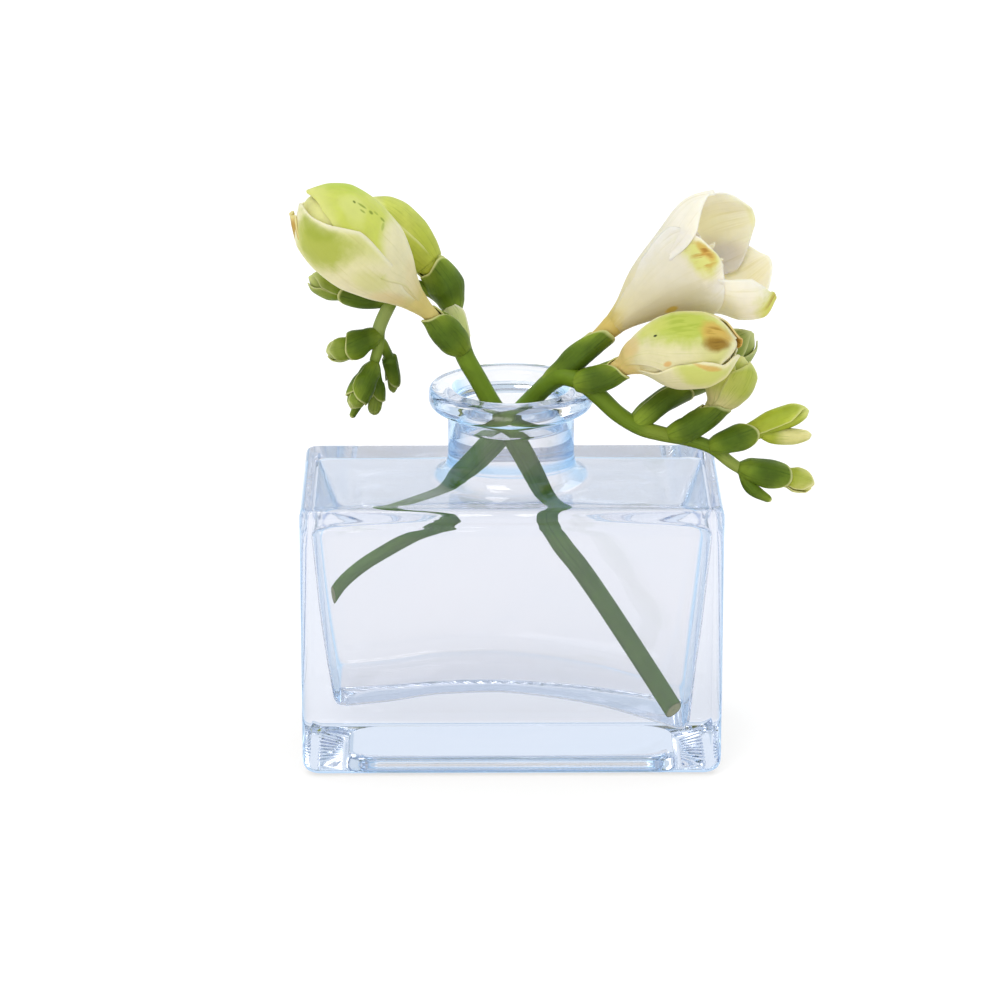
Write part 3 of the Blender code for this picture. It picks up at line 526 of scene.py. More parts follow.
# faint unevenness of blown glass on the inside
def uneven(grid, amount):
    x, y, z = grid[..., 0], grid[..., 1], grid[..., 2]
    wave = (np.sin(x * 0.21 + z * 0.13 + 1.0) + np.sin(z * 0.31 - x * 0.11 + 2.2)
            + np.sin(x * 0.47 - z * 0.23)) / 3
    flat = np.stack([x, y * 2.0, np.zeros_like(x)], axis=-1)
    size = np.maximum(np.linalg.norm(flat, axis=-1, keepdims=True), 1e-3)
    return grid + flat / size * wave[..., None] * amount


# clear material: pale colour with faint clouds, with a painted blue reflection where it is seen at a slant
# but not on level faces, and tinted by the light's way through it
def glassFinish(c):
    made, n, shader = newMaterial(c["name"])
    cloud = n.noise(n.position(), c["cloudScale"], 3.0, Distortion=0.6)
    tone = n.mix(n.rise(cloud, 0.35, 0.7), c["colour"], c["cloud"])
    facing = n.add("ShaderNodeLayerWeight", {"Blend": 0.5}).outputs["Facing"]
    upward = n.parts(n.add("ShaderNodeNewGeometry", {}).outputs["Normal"])[2]
    # painted reflection: the blue rim colour laid over faces that are seen at a slant and are not level
    paintedReflectionMask = n.times(n.rise(facing, 0.16, 0.66), n.rise(upward, 0.97, 0.85))
    tone = n.mix(n.times(paintedReflectionMask, c["paintedReflectionAmount"]), tone, c["rim"])
    n.fill(shader, {"Base Color": tone, "Roughness": 0.0, "IOR": c["ior"], "Transmission Weight": 1.0})
    tint = n.add("ShaderNodeVolumeAbsorption", {"Color": c["tint"], "Density": c["density"]})
    n.fill(made.node_tree.nodes["Material Output"], {"Volume": tint.outputs[0]})
    return made


# each rim colour below is a painted blue reflection at slanted faces, as strong as its amount
clearGlass = {"name": "clear pressed glass", "colour": (0.89, 0.887, 0.908, 1.0), "ior": 1.5,
              "cloud": (0.875, 0.882, 0.908, 1.0), "cloudScale": 28.0, "rim": (0.4, 0.7, 1.0, 1.0),
              "paintedReflectionAmount": 1.0, "tint": (0.5, 0.6, 0.8, 1.0), "density": 6.5}
clearWater = {"name": "water", "colour": (0.97, 0.97, 0.985, 1.0), "ior": 1.333,
              "cloud": (0.96, 0.965, 0.98, 1.0), "cloudScale": 40.0, "rim": (0.8, 0.9, 0.98, 1.0),
              "paintedReflectionAmount": 0.3, "tint": (0.5, 0.7, 0.9, 1.0), "density": 1.0}


# the glass, with small ribs across the foot that it stands on, evenly spaced along it
def makeBottle(c):
    outer = ringGrid(fineRings(c["outer"], c["outerSteps"]), c["around"])
    inner = ringGrid(fineRings(c["inner"], c["innerSteps"]), c["around"])
    low = ringGrid(fineRings(c["floor"], c["innerSteps"]), c["around"], floor=True)
    grid = np.concatenate([np.array(outer), uneven(np.array(inner + low), c["waviness"])])
    path = ringPoints(*c["ribPath"], c["around"])
    along = np.cumsum(np.linalg.norm(np.roll(path, -1, axis=0) - path, axis=1))
    ribs = round(along[-1] / c["ribLength"])
    rib = (0.5 - 0.5 * np.cos(2 * math.pi * ribs * along / along[-1])) ** 1.5
    for j in range(len(outer)):
        if c["ribFrom"] < max(grid[j, :, 0]) < c["ribTo"] and grid[j, 0, 2] < c["footHeight"]:
            grid[j, :, 2] += c["ribDepth"] * rib
    place(surface("glassBottle", grid, wrap=True, ends=True), "bottle", glassFinish(clearGlass))


# the water reaches a little into the glass, so that no air shows between them
def makeWater(c):
    into = -c["waterInto"]
    wall, top = c["neck"] - into, c["waterTop"]
    rows = roundRows((2.0, top), (9.0, top), (11.0, 80.08), (11.9, 80.35), (c["neck"], 80.9), (wall, 81.0),
                     (wall, 77.0))
    upper = ringGrid(fineRings(rows, c["innerSteps"]), c["around"])
    inner = ringGrid(fineRings(c["inner"], c["innerSteps"]), c["around"], inset=into)
    low = ringGrid(fineRings(c["floor"], c["innerSteps"]), c["around"], inset=into, floor=True)
    inside = uneven(np.array(inner + low), c["waviness"])
    water = surface("water", np.concatenate([np.array(upper), inside]), wrap=True, ends=True)
    place(water, "water", glassFinish(clearWater))


makeBottle(bottleSet)
makeWater(bottleSet)
print("bottle and water made")


# stems

leftStem = {
    "points": [(39.6, -16.7, 13.2), (36.2, -16.8, 18.9), (31.4, -16.8, 26.8), (26.4, -16.8, 34.9),
               (21.3, -16.8, 43.0), (16.1, -16.6, 50.8), (11.4, -15.2, 56.8), (7.7, -10.6, 63.0),
               (4.0, -6.8, 71.8), (0.0, -3.6, 79.5), (-4.6, -1.9, 86.0), (-7.9, -0.3, 91.6),
               (-10.7, 1.4, 96.2), (-11.9, 3.2, 99.4), (-12.5, 5.6, 103.4), (-14.3, 7.5, 107.0),
               (-18.6, 9.2, 110.4), (-23.5, 9.8, 111.9), (-27.1, 8.6, 110.3), (-29.5, 6.7, 106.8),
               (-31.5, 5.0, 102.3), (-31.6, 4.5, 98.2), (-32.8, 4.1, 94.0)],
    "radii": [2.3, 2.35, 2.35, 2.35, 2.35, 2.35, 2.35, 2.3, 2.25, 2.2, 2.2, 2.2, 2.25, 2.3, 2.3, 2.0, 1.6,
              1.5, 1.55, 1.6, 1.6, 1.4, 1.2],
    "slant": 3.6, "facing": 70.0,
    "tip": [(-33.2, 4.2, 92.8), (-35.4, 5.3, 86.4), (-38.2, 5.2, 80.4)], "tipRadii": [0.9, 1.4, 0.7]}
rightStem = {
    "points": [(-43.2, -16.5, 42.6), (-40.2, -16.2, 47.0), (-35.2, -15.0, 51.2), (-28.8, -12.3, 54.7),
               (-23.0, -8.6, 57.2), (-17.6, -4.2, 58.8), (-12.9, -0.4, 61.6), (-8.8, 1.8, 67.0),
               (-4.9, 2.9, 73.0), (-1.2, 2.9, 78.5), (3.2, 0.9, 84.3), (6.4, -1.2, 88.3), (9.2, -3.6, 91.8),
               (12.2, -6.2, 94.1), (16.7, -8.0, 93.1), (20.9, -8.6, 89.6), (25.2, -8.5, 85.4),
               (30.5, -8.5, 82.0), (35.7, -8.5, 80.4), (42.3, -8.5, 78.9), (47.6, -8.5, 76.9),
               (51.9, -8.5, 73.4), (55.0, -8.5, 71.3)],
    "radii": [1.45, 1.55, 1.6, 1.65, 1.7, 1.8, 1.95, 2.1, 2.2, 2.25, 2.25, 2.25, 2.3, 2.3, 2.2, 2.1, 2.0,
              1.9, 1.8, 1.6, 1.5, 1.4, 1.3],
    "slant": 3.6, "facing": 20.0,
    "tip": [(54.4, -8.6, 71.7), (57.0, -9.3, 67.2), (61.8, -9.4, 64.0)], "tipRadii": [0.9, 1.6, 0.8]}


# how far up from its foot a stem's slanting cut still bends it
cutReach = 12.0


# round tube along a stalk with its own radius at every point and faint ribs along it
def tube(name, points, radii, sides=28, step=0.8, ribs=0.0, slant=0.0, facing=90.0):
    stalk = Stalk(points)
    table = list(zip(stalk.knots, radii))
    count = max(6, int(stalk.length / step))
    rows = []
    for j in range(count + 1):
        h = stalk.length * j / count
        r = lineAt(table, h)
        toEnd = min(h, stalk.length - h)
        ends = 1.0
        if toEnd < r * 0.5:
            ends = min(1.0, math.sqrt(max(0.0, 1 - (1 - toEnd / r) ** 2)))
        row = []
        for a in anglesOf(sides):
            rib = 1 + ribs * math.cos(7 * a + 0.03 * h)
            cut = slant * (1 + math.cos(a - math.radians(facing))) / 2 * max(0.0, 1 - h / cutReach)
            row.append(stalk.at(h + cut, a, r * rib * (1.0 if slant and h < r else max(ends, 0.5))))
        rows.append(row)
    return surface(name, np.array(rows), wrap=True, ends=True)


# how high the cup of bracts reaches on its upper, near, lower and far side, smooth between
def rimAt(rims, angle):
    q = (angle / (2 * math.pi)) % 1.0 * 4
    k = int(q) % 4
    f = q - int(q)
    f = f * f * (3 - 2 * f)
    return rims[k] * (1 - f) + rims[(k + 1) % 4] * f


# clearance and wall of the solids' bract cups, and half the thickness of their petals
cupGap = 0.45
bractWall = 0.7
petalHalf = 0.375


def sheathRadius(floret, h):
    wall = bractWall + 0.5 * max(0.0, 1 - (h - floret["foot"]) / 6.0)
    if h < floret["foot"]:
        return lineAt(floret["sheath"], h)
    return max(lineAt(floret["sheath"], h), lineAt(floret["shape"], h) + cupGap + wall)


# one bract: a pointed leaf wrapped about the stalk's foot, its top following the cup's rim
def bractBlade(name, floret, turn, half, lift, drop, reach=1.0):
    stalk = Stalk(floret["path"])
    size = min(1.0, max(r for h, r in floret["sheath"]) / 3.2)

    def spot(t, v):
        angle = math.radians(turn + t * (half * (1 - 0.12 * v ** 3)))
        share = v * (1 - drop * abs(t) ** 2.6)
        h = share * rimAt(floret["rims"], angle) * reach
        close = min(1.0, max(0.0, (share - 0.45) / 0.5)) ** 1.3
        full = sheathRadius(floret, h) - 0.2 - 0.55 * math.sin(math.pi * v) ** 2
        radius = full + (lineAt(floret["shape"], h) + 0.35 - full) * close
        radius += lift * size * min(1.0, v * 6) * (1 - 0.6 * abs(t) ** 6)
        radius += 0.14 * math.exp(-(t * 9) ** 2) * math.sin(math.pi * v)
        return stalk.at(h, angle, radius)

    return thinBlade(name, 34, 36, 0.42 * size, spot)


# each floret: the path of its own stalk; "sheath", its bract cup's radius at distances along the path;
# "foot", where the bud starts in the cup; "rims", how high the cup reaches on its upper, near, lower
# and far side; "bracts", where the outer and the inner bract face; "shape", the bud's radius
florets = {
    "left_flower": dict(
        path=[(-11.3, 1.8, 98.0), (-15.5, 1.0, 103.2), (-19.5, 0.2, 107.8), (-26.5, -3.0, 115.5),
              (-33.4, -5.5, 123.4), (-41.0, -7.5, 131.5), (-48.6, -9.0, 139.0)],
        sheath=[(0, 2.3), (4, 4.0), (8, 4.3), (12, 3.3), (16, 2.9)], foot=5.5,
        rims=(13.6, 12.4, 13.8, 13.2), bracts=(120, 290),
        shape=[(5.5, 1.3), (9, 1.6), (13.5, 1.9), (17.9, 3.0), (22.2, 4.7), (28.7, 8.1), (35.3, 10.3),
               (41.8, 10.7), (48.3, 9.7), (52.7, 6.9), (57.0, 1.4)]),
    "left_second_bud": dict(
        path=[(-13.4, 7.2, 106.0), (-15.9, 8.4, 113.1), (-20.5, 9.8, 118.9), (-26.4, 11.2, 124.2),
              (-35.5, 13.0, 131.6)],
        sheath=[(0, 1.9), (3, 3.4), (7, 4.9), (11, 4.8), (15, 4.2)], foot=7.4,
        rims=(13.4, 11.8, 16.6, 13.8), bracts=(60, 250),
        shape=[(7.4, 1.4), (9, 1.9), (12.5, 3.1), (16.5, 4.7), (21.5, 6.0), (26, 6.2), (30, 5.2), (33, 3.0),
               (34.8, 0.9)]),
    "left_third_bud": dict(
        path=[(-27.3, 8.6, 110.2), (-33.0, 8.9, 109.2), (-40.4, 8.6, 110.9), (-48.4, 8.0, 114.7)],
        sheath=[(0, 1.5), (3, 2.6), (8, 3.1), (13, 3.0), (16, 2.8)], foot=3.6,
        rims=(13.0, 14.4, 12.6, 12.0), bracts=(100, 280),
        shape=[(3.6, 1.1), (8, 1.9), (13, 2.1), (16, 2.8), (19.5, 2.5), (22.0, 0.8)]),
    "left_fourth_bud": dict(
        path=[(-31.4, 4.8, 101.2), (-35.0, 3.6, 100.0), (-39.0, 2.5, 98.6), (-43.9, 1.4, 98.0)],
        sheath=[(0, 1.5), (3, 2.9), (6.5, 3.2), (10, 3.1)], foot=3.2,
        rims=(8.2, 9.6, 9.0, 8.4), bracts=(60, 240),
        shape=[(3.2, 1.3), (6, 2.3), (8.6, 2.7), (10, 2.8), (12.2, 2.2), (13.5, 0.8)]),
    "left_fifth_bud": dict(
        path=[(-31.4, 4.8, 100.2), (-28.9, 7.2, 93.8), (-28.2, 9.0, 86.0), (-28.4, 9.5, 83.6)],
        sheath=[(0, 1.2), (3, 1.5), (7, 1.8), (12, 1.8)], foot=6.2,
        rims=(12.8, 13.8, 13.6, 13.2), bracts=(90, 270),
        shape=[(6.2, 0.8), (9, 0.9), (12.6, 1.3), (14.4, 1.2), (16.0, 0.4)]),
    "left_sixth_bud": dict(
        path=[(-32.6, 4.0, 94.2), (-35.4, 0.6, 89.8), (-37.9, -1.2, 85.1)],
        sheath=[(0, 1.3), (2.5, 2.6), (6, 3.1), (9.5, 3.0), (11.5, 2.6)], foot=3.6,
        rims=(10.6, 10.0, 10.8, 10.4), bracts=(100, 280),
        shape=[(3.6, 1.1), (6, 2.0), (9, 2.2), (10.9, 1.9), (12.4, 0.5)]),
    "left_seventh_bud": dict(
        path=[(-32.7, 4.4, 94.4), (-32.2, 6.0, 87.7), (-32.8, 6.2, 80.7)],
        sheath=[(0, 1.2), (3, 1.6), (7, 2.1), (11, 2.1)], foot=6.0,
        rims=(10.6, 10.0, 10.4, 9.6), bracts=(90, 270),
        shape=[(6.0, 0.8), (8, 1.3), (10.6, 1.75), (12, 1.7), (13.2, 1.2), (14.0, 0.4)]),
    "right_flower": dict(
        path=[(8.8, -3.3, 91.4), (15.8, -5.0, 98.7), (22.8, -4.5, 104.9), (27.8, -3.0, 109.1),
              (35.1, -0.6, 114.8), (44.6, 2.2, 119.4), (54.4, 4.0, 123.2)],
        sheath=[(0, 2.2), (4, 2.9), (9, 3.4), (14, 3.3), (19, 2.9)], foot=8.5,
        rims=(16.6, 19.6, 20.2, 17.6), bracts=(110, 300),
        shape=[(8.5, 1.3), (12, 1.7), (18, 2.2), (24, 3.3), (32, 6.6), (42, 10.9), (50, 14.2), (57, 15.6),
               (64, 15.0)]),
    "right_second_flower": dict(
        path=[(15.2, -7.8, 92.9), (21.3, -9.5, 94.8), (26.0, -10.5, 97.6), (30.1, -12.4, 100.8),
              (35.9, -14.2, 102.8), (45.2, -15.4, 103.6), (53.8, -16.0, 104.2)],
        sheath=[(0, 2.2), (4, 3.6), (8, 3.8), (12, 3.2)], foot=5.5,
        rims=(11.8, 12.6, 13.2, 14.2), bracts=(120, 300),
        shape=[(5.5, 1.4), (9, 2.0), (12, 2.3), (17.5, 5.0), (23.8, 8.5), (28.5, 9.2), (33, 9.1), (37, 7.7),
               (41.9, 4.2)]),
    "right_third_bud": dict(
        path=[(29.0, -8.5, 83.0), (35.7, -5.0, 87.5), (42.1, 0.2, 89.5), (50.3, 5.6, 94.9),
              (58.8, 8.4, 100.8)],
        sheath=[(0, 1.9), (5, 3.1), (11, 3.3), (16, 2.9)], foot=6.0,
        rims=(15.6, 16.6, 16.0, 14.8), bracts=(120, 300),
        shape=[(6, 1.2), (10, 1.8), (15, 2.1), (20, 3.2), (26, 4.2), (32, 4.6), (36.2, 3.3), (38.4, 0.9)]),
    "right_fourth_bud": dict(
        path=[(37.3, -8.5, 80.1), (42.7, -8.9, 82.5), (48.0, -7.4, 86.3), (51.2, -5.2, 91.2),
              (54.7, -3.6, 97.5)],
        sheath=[(0, 1.8), (4, 3.3), (8, 3.5), (13, 3.3)], foot=5.0,
        rims=(12.0, 13.6, 15.2, 12.4), bracts=(110, 290),
        shape=[(5, 1.3), (9, 2.1), (13, 2.3), (16.5, 4.2), (20.5, 5.1), (23.5, 4.7), (25.8, 2.9),
               (26.9, 0.9)]),
    "right_fifth_bud": dict(
        path=[(47.2, -8.5, 77.2), (53.6, -9.8, 79.8), (59.2, -10.5, 82.4), (70.0, -11.0, 86.8)],
        sheath=[(0, 1.6), (4, 3.1), (8, 3.6), (13, 3.3)], foot=5.2,
        rims=(10.4, 12.8, 11.8, 11.2), bracts=(70, 250),
        shape=[(5.2, 1.1), (8, 1.9), (12, 2.3), (16, 2.8), (21, 2.6), (24, 1.7), (25.2, 0.6)]),
    "right_sixth_bud": dict(
        path=[(54.0, -8.5, 72.0), (60.3, -8.5, 70.6), (66.3, -8.5, 69.3), (72.3, -8.5, 67.7)],
        sheath=[(0, 1.4), (3, 3.0), (7, 3.7), (12, 3.4)], foot=4.0,
        rims=(12.0, 12.8, 11.6, 12.2), bracts=(60, 240),
        shape=[(4, 1.2), (8, 2.2), (12, 2.2), (14, 2.7), (16.8, 2.2), (18.6, 0.6)]),
}

greens = {
    "stem": {"Base": (126, 174, 82), "Middle": (98, 124, 20), "Tip": (108, 130, 34),
             "Middle From": 0.4, "Middle To": 0.62,
             "Vein": (64, 94, 10), "Vein Amount": 0.5, "Vein Count": 22.0, "Blotch Amount": 0.3,
             "Blotch Scale": 150.0},
    "bract": {"Base": (124, 146, 44), "Middle": (84, 108, 24), "Tip": (122, 142, 42),
              "Middle From": 0.02, "Middle To": 0.45, "Tip From": 0.6, "Tip To": 1.05,
              "Vein": (56, 80, 10), "Vein Amount": 0.6, "Vein Count": 26.0,
              "Centre": (66, 90, 18), "Centre Amount": 0.55, "Centre Width": 0.6,
              "Margin": (200, 204, 140), "Margin Amount": 0.9, "Margin Width": 0.06,
              "Blotch Amount": 0.5, "Blotch Scale": 210.0}}
# lighter patches on each stem's green, as rows for patch()
stemGreens = {
    "left_stem": [((158, 174, 104), 0.5, 0.925, 2.0, 0.03, 0.85),
                  ((132, 152, 66), 0.5, 0.975, 2.0, 0.02, 0.85),
                  ((120, 142, 44), 0.5, 0.74, 2.0, 0.03, 0.85)],
    "right_stem": [((124, 142, 48), 0.5, 0.84, 2.0, 0.05, 0.85),
                   ((146, 160, 76), 0.5, 0.975, 2.0, 0.03, 0.85)]}
bractGreen = plantFinish("bract green", greens["bract"], rough=0.5, through=0.15, relief=0.45, shine=0.15)


# slanting cut at a stem's foot: a pale pith inside a green rind
def makeCutFace(c, node):
    stalk = Stalk(c["points"])
    facing = math.radians(c["facing"])
    above = stalk.frame(0)[1] * 0.06
    rows = [[stalk.at(c["slant"] * (1 + math.cos(a - facing) * share) / 2, a, c["radii"][0] * share) - above
             for a in anglesOf(28)] for share in (1.0, 0.8, 0.55, 0.3, 0.1)]
    made, n, shader = newMaterial(node.replace("_", " ") + " cut face")
    grain = n.noise(n.position(), 1400.0, 2.0)
    inward = n.plus(n.spread()[1], n.times(grain, 0.2))
    tone = n.mix(n.rise(inward, 0.1, 0.4), screen(120, 140, 66), screen(196, 204, 146))
    n.fill(shader, {"Base Color": tone, "Normal": n.bump(0.3, 0.0003, grain), "Roughness": 0.5})
    place(surface(node + ".cutFace", np.array(rows), wrap=True), node, made)


def makeSpray(c, node, names):
    skin = plantFinish(node.replace("_", " ") + " green", greens["stem"], stemGreens[node], through=0.12,
                       relief=0.3, shine=0.2)
    place(tube(node + ".stalk", c["points"], c["radii"], ribs=0.012, slant=c["slant"], facing=c["facing"]),
          node, skin)
    makeCutFace(c, node)
    place(tube(node + ".tip", c["tip"], c["tipRadii"], sides=20, step=0.4), node, bractGreen)
    for name in names:
        f = florets[name]
        outerTurn, innerTurn = f["bracts"]
        short = name.replace("_bud", "").replace("_flower", "")
        place(bractBlade(short + ".innerBract", f, innerTurn, 118, 0.0, 0.22, 0.97), node, bractGreen)
        place(bractBlade(short + ".outerBract", f, outerTurn, 112, 0.3, 0.3), node, bractGreen)


# petals and buds

def placeAll(node, pieces):
    for piece, finish in pieces:
        place(piece, node, finish)


# where a core starts to close at its end, as a share of its length, and its least size there
closeFrom, closeLength, closeLeast = 0.93, 0.07, 0.25


# closed core of a floret: its shape table turned about the stalk, furrowed between the outer petals
def budCore(name, floret, scale=1.0, narrowFrom=0.0, stop=None, notch=0.0, sides=48, along=56):
    stalk = Stalk(floret["path"])
    table = floret["shape"]
    start = table[0][0]
    stop = table[-1][0] if stop is None else stop
    clear = max(floret["rims"]) + 0.3
    rows = []
    for j in range(along + 1):
        h = start + (stop - start) * j / along
        under = min(1.0, max(0.0, (h - narrowFrom) / 5.0))
        r = lineAt(table, h) * (1 - (1 - scale) * under)
        swell = notch * max(0.0, (h - clear) / (stop - clear))
        close = math.sqrt(max(0.0, 1 - max(0.0, (j / along - closeFrom) / closeLength) ** 2))
        rows.append([stalk.at(h, a, r * max(close, closeLeast) * (1 + swell * math.cos(3 * a)))
                     for a in anglesOf(sides)])
    return surface(name, np.array(rows), wrap=True, ends=True)


# one petal: a curved blade about the stalk, from "near" to "far" along it and facing "turn";
# "wide" is its half width, "out" extra radius, "tuck" lifts one edge over the next petal,
# "drop" rounds the tip, "curl" opens its section, "wave" and "ripple" bend its free edge,
# "rib" raises its middle
def petal(name, floret, near, far, turn, wide, out=((0, 0), (1, 0)), tuck=0.0, drop=0.25,
          curl=((0, 1), (1, 1)), thick=0.42, wave=0.0, rib=0.12, ripple=0.0, along=54, across=38):
    stalk = Stalk(floret["path"])
    centre = math.radians(turn)

    def spot(t, v):
        u = v * (1 - drop * abs(t) ** 2.4)
        h = near + (far - near) * u
        radius = lineAt(floret["shape"], h) - petalHalf + lineAt(out, u)
        radius += tuck * (1 + t) / 2 * min(1, 3 * u)
        radius += wave * math.sin(4.5 * t + turn) * u ** 3 * abs(t)
        radius += ripple * math.sin(9.0 * t + 5.0 * v + turn) * v ** 4
        radius += rib * math.exp(-(t * 6) ** 2) * math.sin(math.pi * min(1.0, u))
        bend = radius * lineAt(curl, u)
        angle = t * lineAt(wide, u) / bend
        p, tangent, n, b = stalk.frame(h)
        radial = math.cos(centre) * n + math.sin(centre) * b
        sideways = -math.sin(centre) * n + math.cos(centre) * b
        return (p + tangent * max(0.0, h - stalk.length) + (radius - bend + bend * math.cos(angle)) * radial
                + bend * math.sin(angle) * sideways)

    return thinBlade(name, along, across, thick, spot)


# half width of a petal that hugs its floret: a share of the way around at each point of its length
def hugging(floret, near, far, share):
    spots = [0.0, 0.15, 0.3, 0.45, 0.6, 0.75, 0.88, 1.0]
    return [(u, share * max(0.5, lineAt(floret["shape"], near + (far - near) * u))) for u in spots]


# one papery bract on the left stem, above its first bend
sheathSet = {
    "floret": dict(path=[(-11.3, 2.2, 97.2), (-12.0, 4.0, 101.6), (-13.0, 6.3, 105.8), (-14.4, 8.0, 110.4)],
                   shape=[(0, 3.05), (6, 3.2), (14, 3.0)]),
    "wide": ((0, 1.6), (0.25, 4.6), (0.6, 4.4), (0.85, 2.6), (1, 0.5)),
    "paint": {"Base": (150, 166, 84), "Middle": (184, 194, 124), "Tip": (204, 206, 152),
              "Vein": (128, 150, 66), "Vein Amount": 0.75, "Vein Count": 14.0,
              "Margin": (226, 224, 196), "Margin Amount": 0.8, "Margin Width": 0.16,
              "Blotch Amount": 0.25}}


def makeSheath(c):
    skin = plantFinish("papery bract", c["paint"], rough=0.6, through=0.3, relief=0.5)
    place(petal("left.paperyBract", c["floret"], 0.6, 14.4, 64, c["wide"], drop=0.3, thick=0.25, rib=0.1),
          "left_stem", skin)


leftFlowerPaint = {"Base": (206, 190, 118), "Middle": (228, 220, 178), "Tip": (212, 212, 142),
                   "Middle From": 0.06, "Middle To": 0.3, "Tip From": 0.5, "Tip To": 0.85,
                   "Margin": (238, 232, 200), "Margin Amount": 0.9, "Margin Width": 0.12,
                   "Vein": (196, 188, 112), "Vein Amount": 0.35, "Blotch Amount": 0.14}
leftFlowerSet = {
    "nearWide": ((0, 1.6), (0.2, 4.5), (0.45, 11.0), (0.65, 12.4), (0.78, 11.0), (0.9, 7.6), (1, 2.4)),
    "wide": ((0, 1.6), (0.2, 4.5), (0.45, 12.5), (0.7, 14.0), (0.88, 11.5), (1, 3.0)),
    "nearPatches": [((168, 178, 72), 0.42, 0.8, 0.36, 0.2, 0.95),
                    ((150, 164, 54), 0.3, 0.9, 0.2, 0.1, 0.6),
                    ((222, 186, 120), 0.4, 0.24, 0.3, 0.14, 0.35),
                    ((202, 204, 116), 0.3, 0.45, 0.2, 0.14, 0.5)],
    "upperPatches": [((172, 192, 52), 0.25, 0.86, 0.34, 0.16, 0.85),
                     ((214, 218, 134), 0.66, 0.8, 0.16, 0.1, 0.6),
                     ((100, 118, 34), 0.597, 0.801, 0.014, 0.01, 0.9),
                     ((132, 150, 44), 0.585, 0.755, 0.014, 0.03, 0.8),
                     ((132, 150, 44), 0.63, 0.745, 0.012, 0.02, 0.7),
                     ((120, 138, 40), 0.59, 0.695, 0.018, 0.016, 0.85),
                     ((140, 158, 50), 0.56, 0.665, 0.014, 0.02, 0.6),
                     ((124, 144, 42), 0.565, 0.615, 0.016, 0.022, 0.8),
                     ((150, 168, 58), 0.62, 0.6, 0.05, 0.012, 0.6),
                     ((222, 190, 126), 0.75, 0.24, 0.4, 0.14, 0.25)]}


# the big closed flower at the left: a full body, three outer petals laid over each other, a curled tip
def makeLeftFlower(c):
    f = florets["left_flower"]
    near = plantFinish("big bud near petal", leftFlowerPaint, c["nearPatches"], relief=0.35)
    upperPaint = {**leftFlowerPaint, "Tip": (196, 204, 92), "Tip From": 0.5, "Tip To": 0.64,
                  "Margin": (222, 220, 150), "Margin Amount": 0.5}
    upper = plantFinish("big bud upper petal", upperPaint, c["upperPatches"], relief=0.35)
    plain = plantFinish("big bud core", {**leftFlowerPaint, "Tip": (206, 208, 130)})
    inside = plantFinish("big bud tube", {**leftFlowerPaint, "Middle From": 0.25, "Middle To": 0.45,
                                          "Margin Amount": 0.0})
    brown = plantFinish("curled petal tip", {
        **leftFlowerPaint, "Base": (206, 200, 120), "Middle": (204, 180, 84), "Tip": (184, 150, 66),
        "Tip From": 0.55, "Margin": (226, 214, 150), "Vein": (140, 100, 36), "Vein Amount": 0.7})
    placeAll("left_flower", [
        (budCore("leftFlower.core", f, scale=0.94, narrowFrom=15.5, stop=55.0), inside),
        (petal("leftFlower.upper", f, 15.5, 56.8, 26, c["wide"], out=((0, 0), (0.8, 0.2), (1, 0.1)),
               drop=0.32), upper),
        (petal("leftFlower.near", f, 15.5, 56.2, 136, c["nearWide"],
               out=((0, -0.1), (0.4, 0.1), (0.55, 0.55), (0.9, 0.75), (1, 0.2)), drop=0.3), near),
        (petal("leftFlower.lower", f, 15.5, 54.0, 246, c["wide"], drop=0.34), plain),
        (petal("leftFlower.curledTip", f, 42.0, 55.8, 182, ((0, 3.4), (0.5, 4.2), (0.85, 3.8), (1, 2.2)),
               out=((0, -0.4), (0.5, 0.4), (0.85, 1.1), (1, 2.2)), drop=0.1, ripple=0.5, along=24,
               across=14), brown)])


openPaint = {"Base": (198, 176, 98), "Middle": (222, 208, 162), "Tip": (240, 231, 216),
             "Middle From": 0.04, "Middle To": 0.26, "Tip From": 0.24, "Tip To": 0.6,
             "Margin": (246, 240, 226), "Margin Amount": 0.5, "Margin Width": 0.1,
             "Vein": (214, 200, 156), "Vein Amount": 0.4, "Vein Count": 22.0, "Blotch Amount": 0.1}
openSet = {
    "wide": ((0, 1.8), (0.25, 5.4), (0.5, 10.4), (0.75, 14.4), (0.92, 11.4), (1, 6.5)),
    "slim": ((0, 1.6), (0.25, 4.8), (0.5, 9.4), (0.75, 12.8), (0.92, 11.0), (1, 7.0)),
    "curl": ((0, 1.0), (0.4, 1.0), (0.7, 1.1), (1, 1.3)),
    "cupped": ((0, 1.0), (0.4, 1.0), (0.7, 0.8), (1, 0.5)),
    # the near petal's first two rows are painted shade: darker cream towards its lower edge and over its
    # middle
    "near": [((214, 203, 170), 0.85, 0.4, 0.5, 0.5, 0.8),
             ((218, 208, 180), 0.45, 0.5, 0.5, 0.45, 0.6),
             ((216, 184, 80), 0.8, 0.5, 0.07, 0.07, 0.9),
             ((206, 207, 118), 0.39, 0.88, 0.25, 0.16, 0.9, (180, 130, 50), 0.9, 26.0),
             ((196, 154, 70), 0.34, 0.93, 0.14, 0.06, 0.75, (150, 100, 30), 1.0, 40.0)],
    "upper": [((226, 222, 150), 0.82, 0.66, 0.1, 0.06, 0.5),
              ((216, 208, 184), 0.3, 0.5, 0.4, 0.4, 0.6)],
    "innerFar": [((222, 218, 146), 0.5, 1.0, 0.3, 0.04, 0.35),
                 ((236, 224, 194), 0.5, 0.55, 0.6, 0.34, 0.75)],
    "far": [((238, 228, 206), 0.5, 0.6, 0.6, 0.34, 0.7),
            ((228, 206, 104), 0.68, 0.84, 0.08, 0.03, 0.9)],
    "innerLower": [((192, 194, 84), 0.5, 0.98, 0.4, 0.16, 1.0, (150, 112, 30), 0.8, 24.0)]}


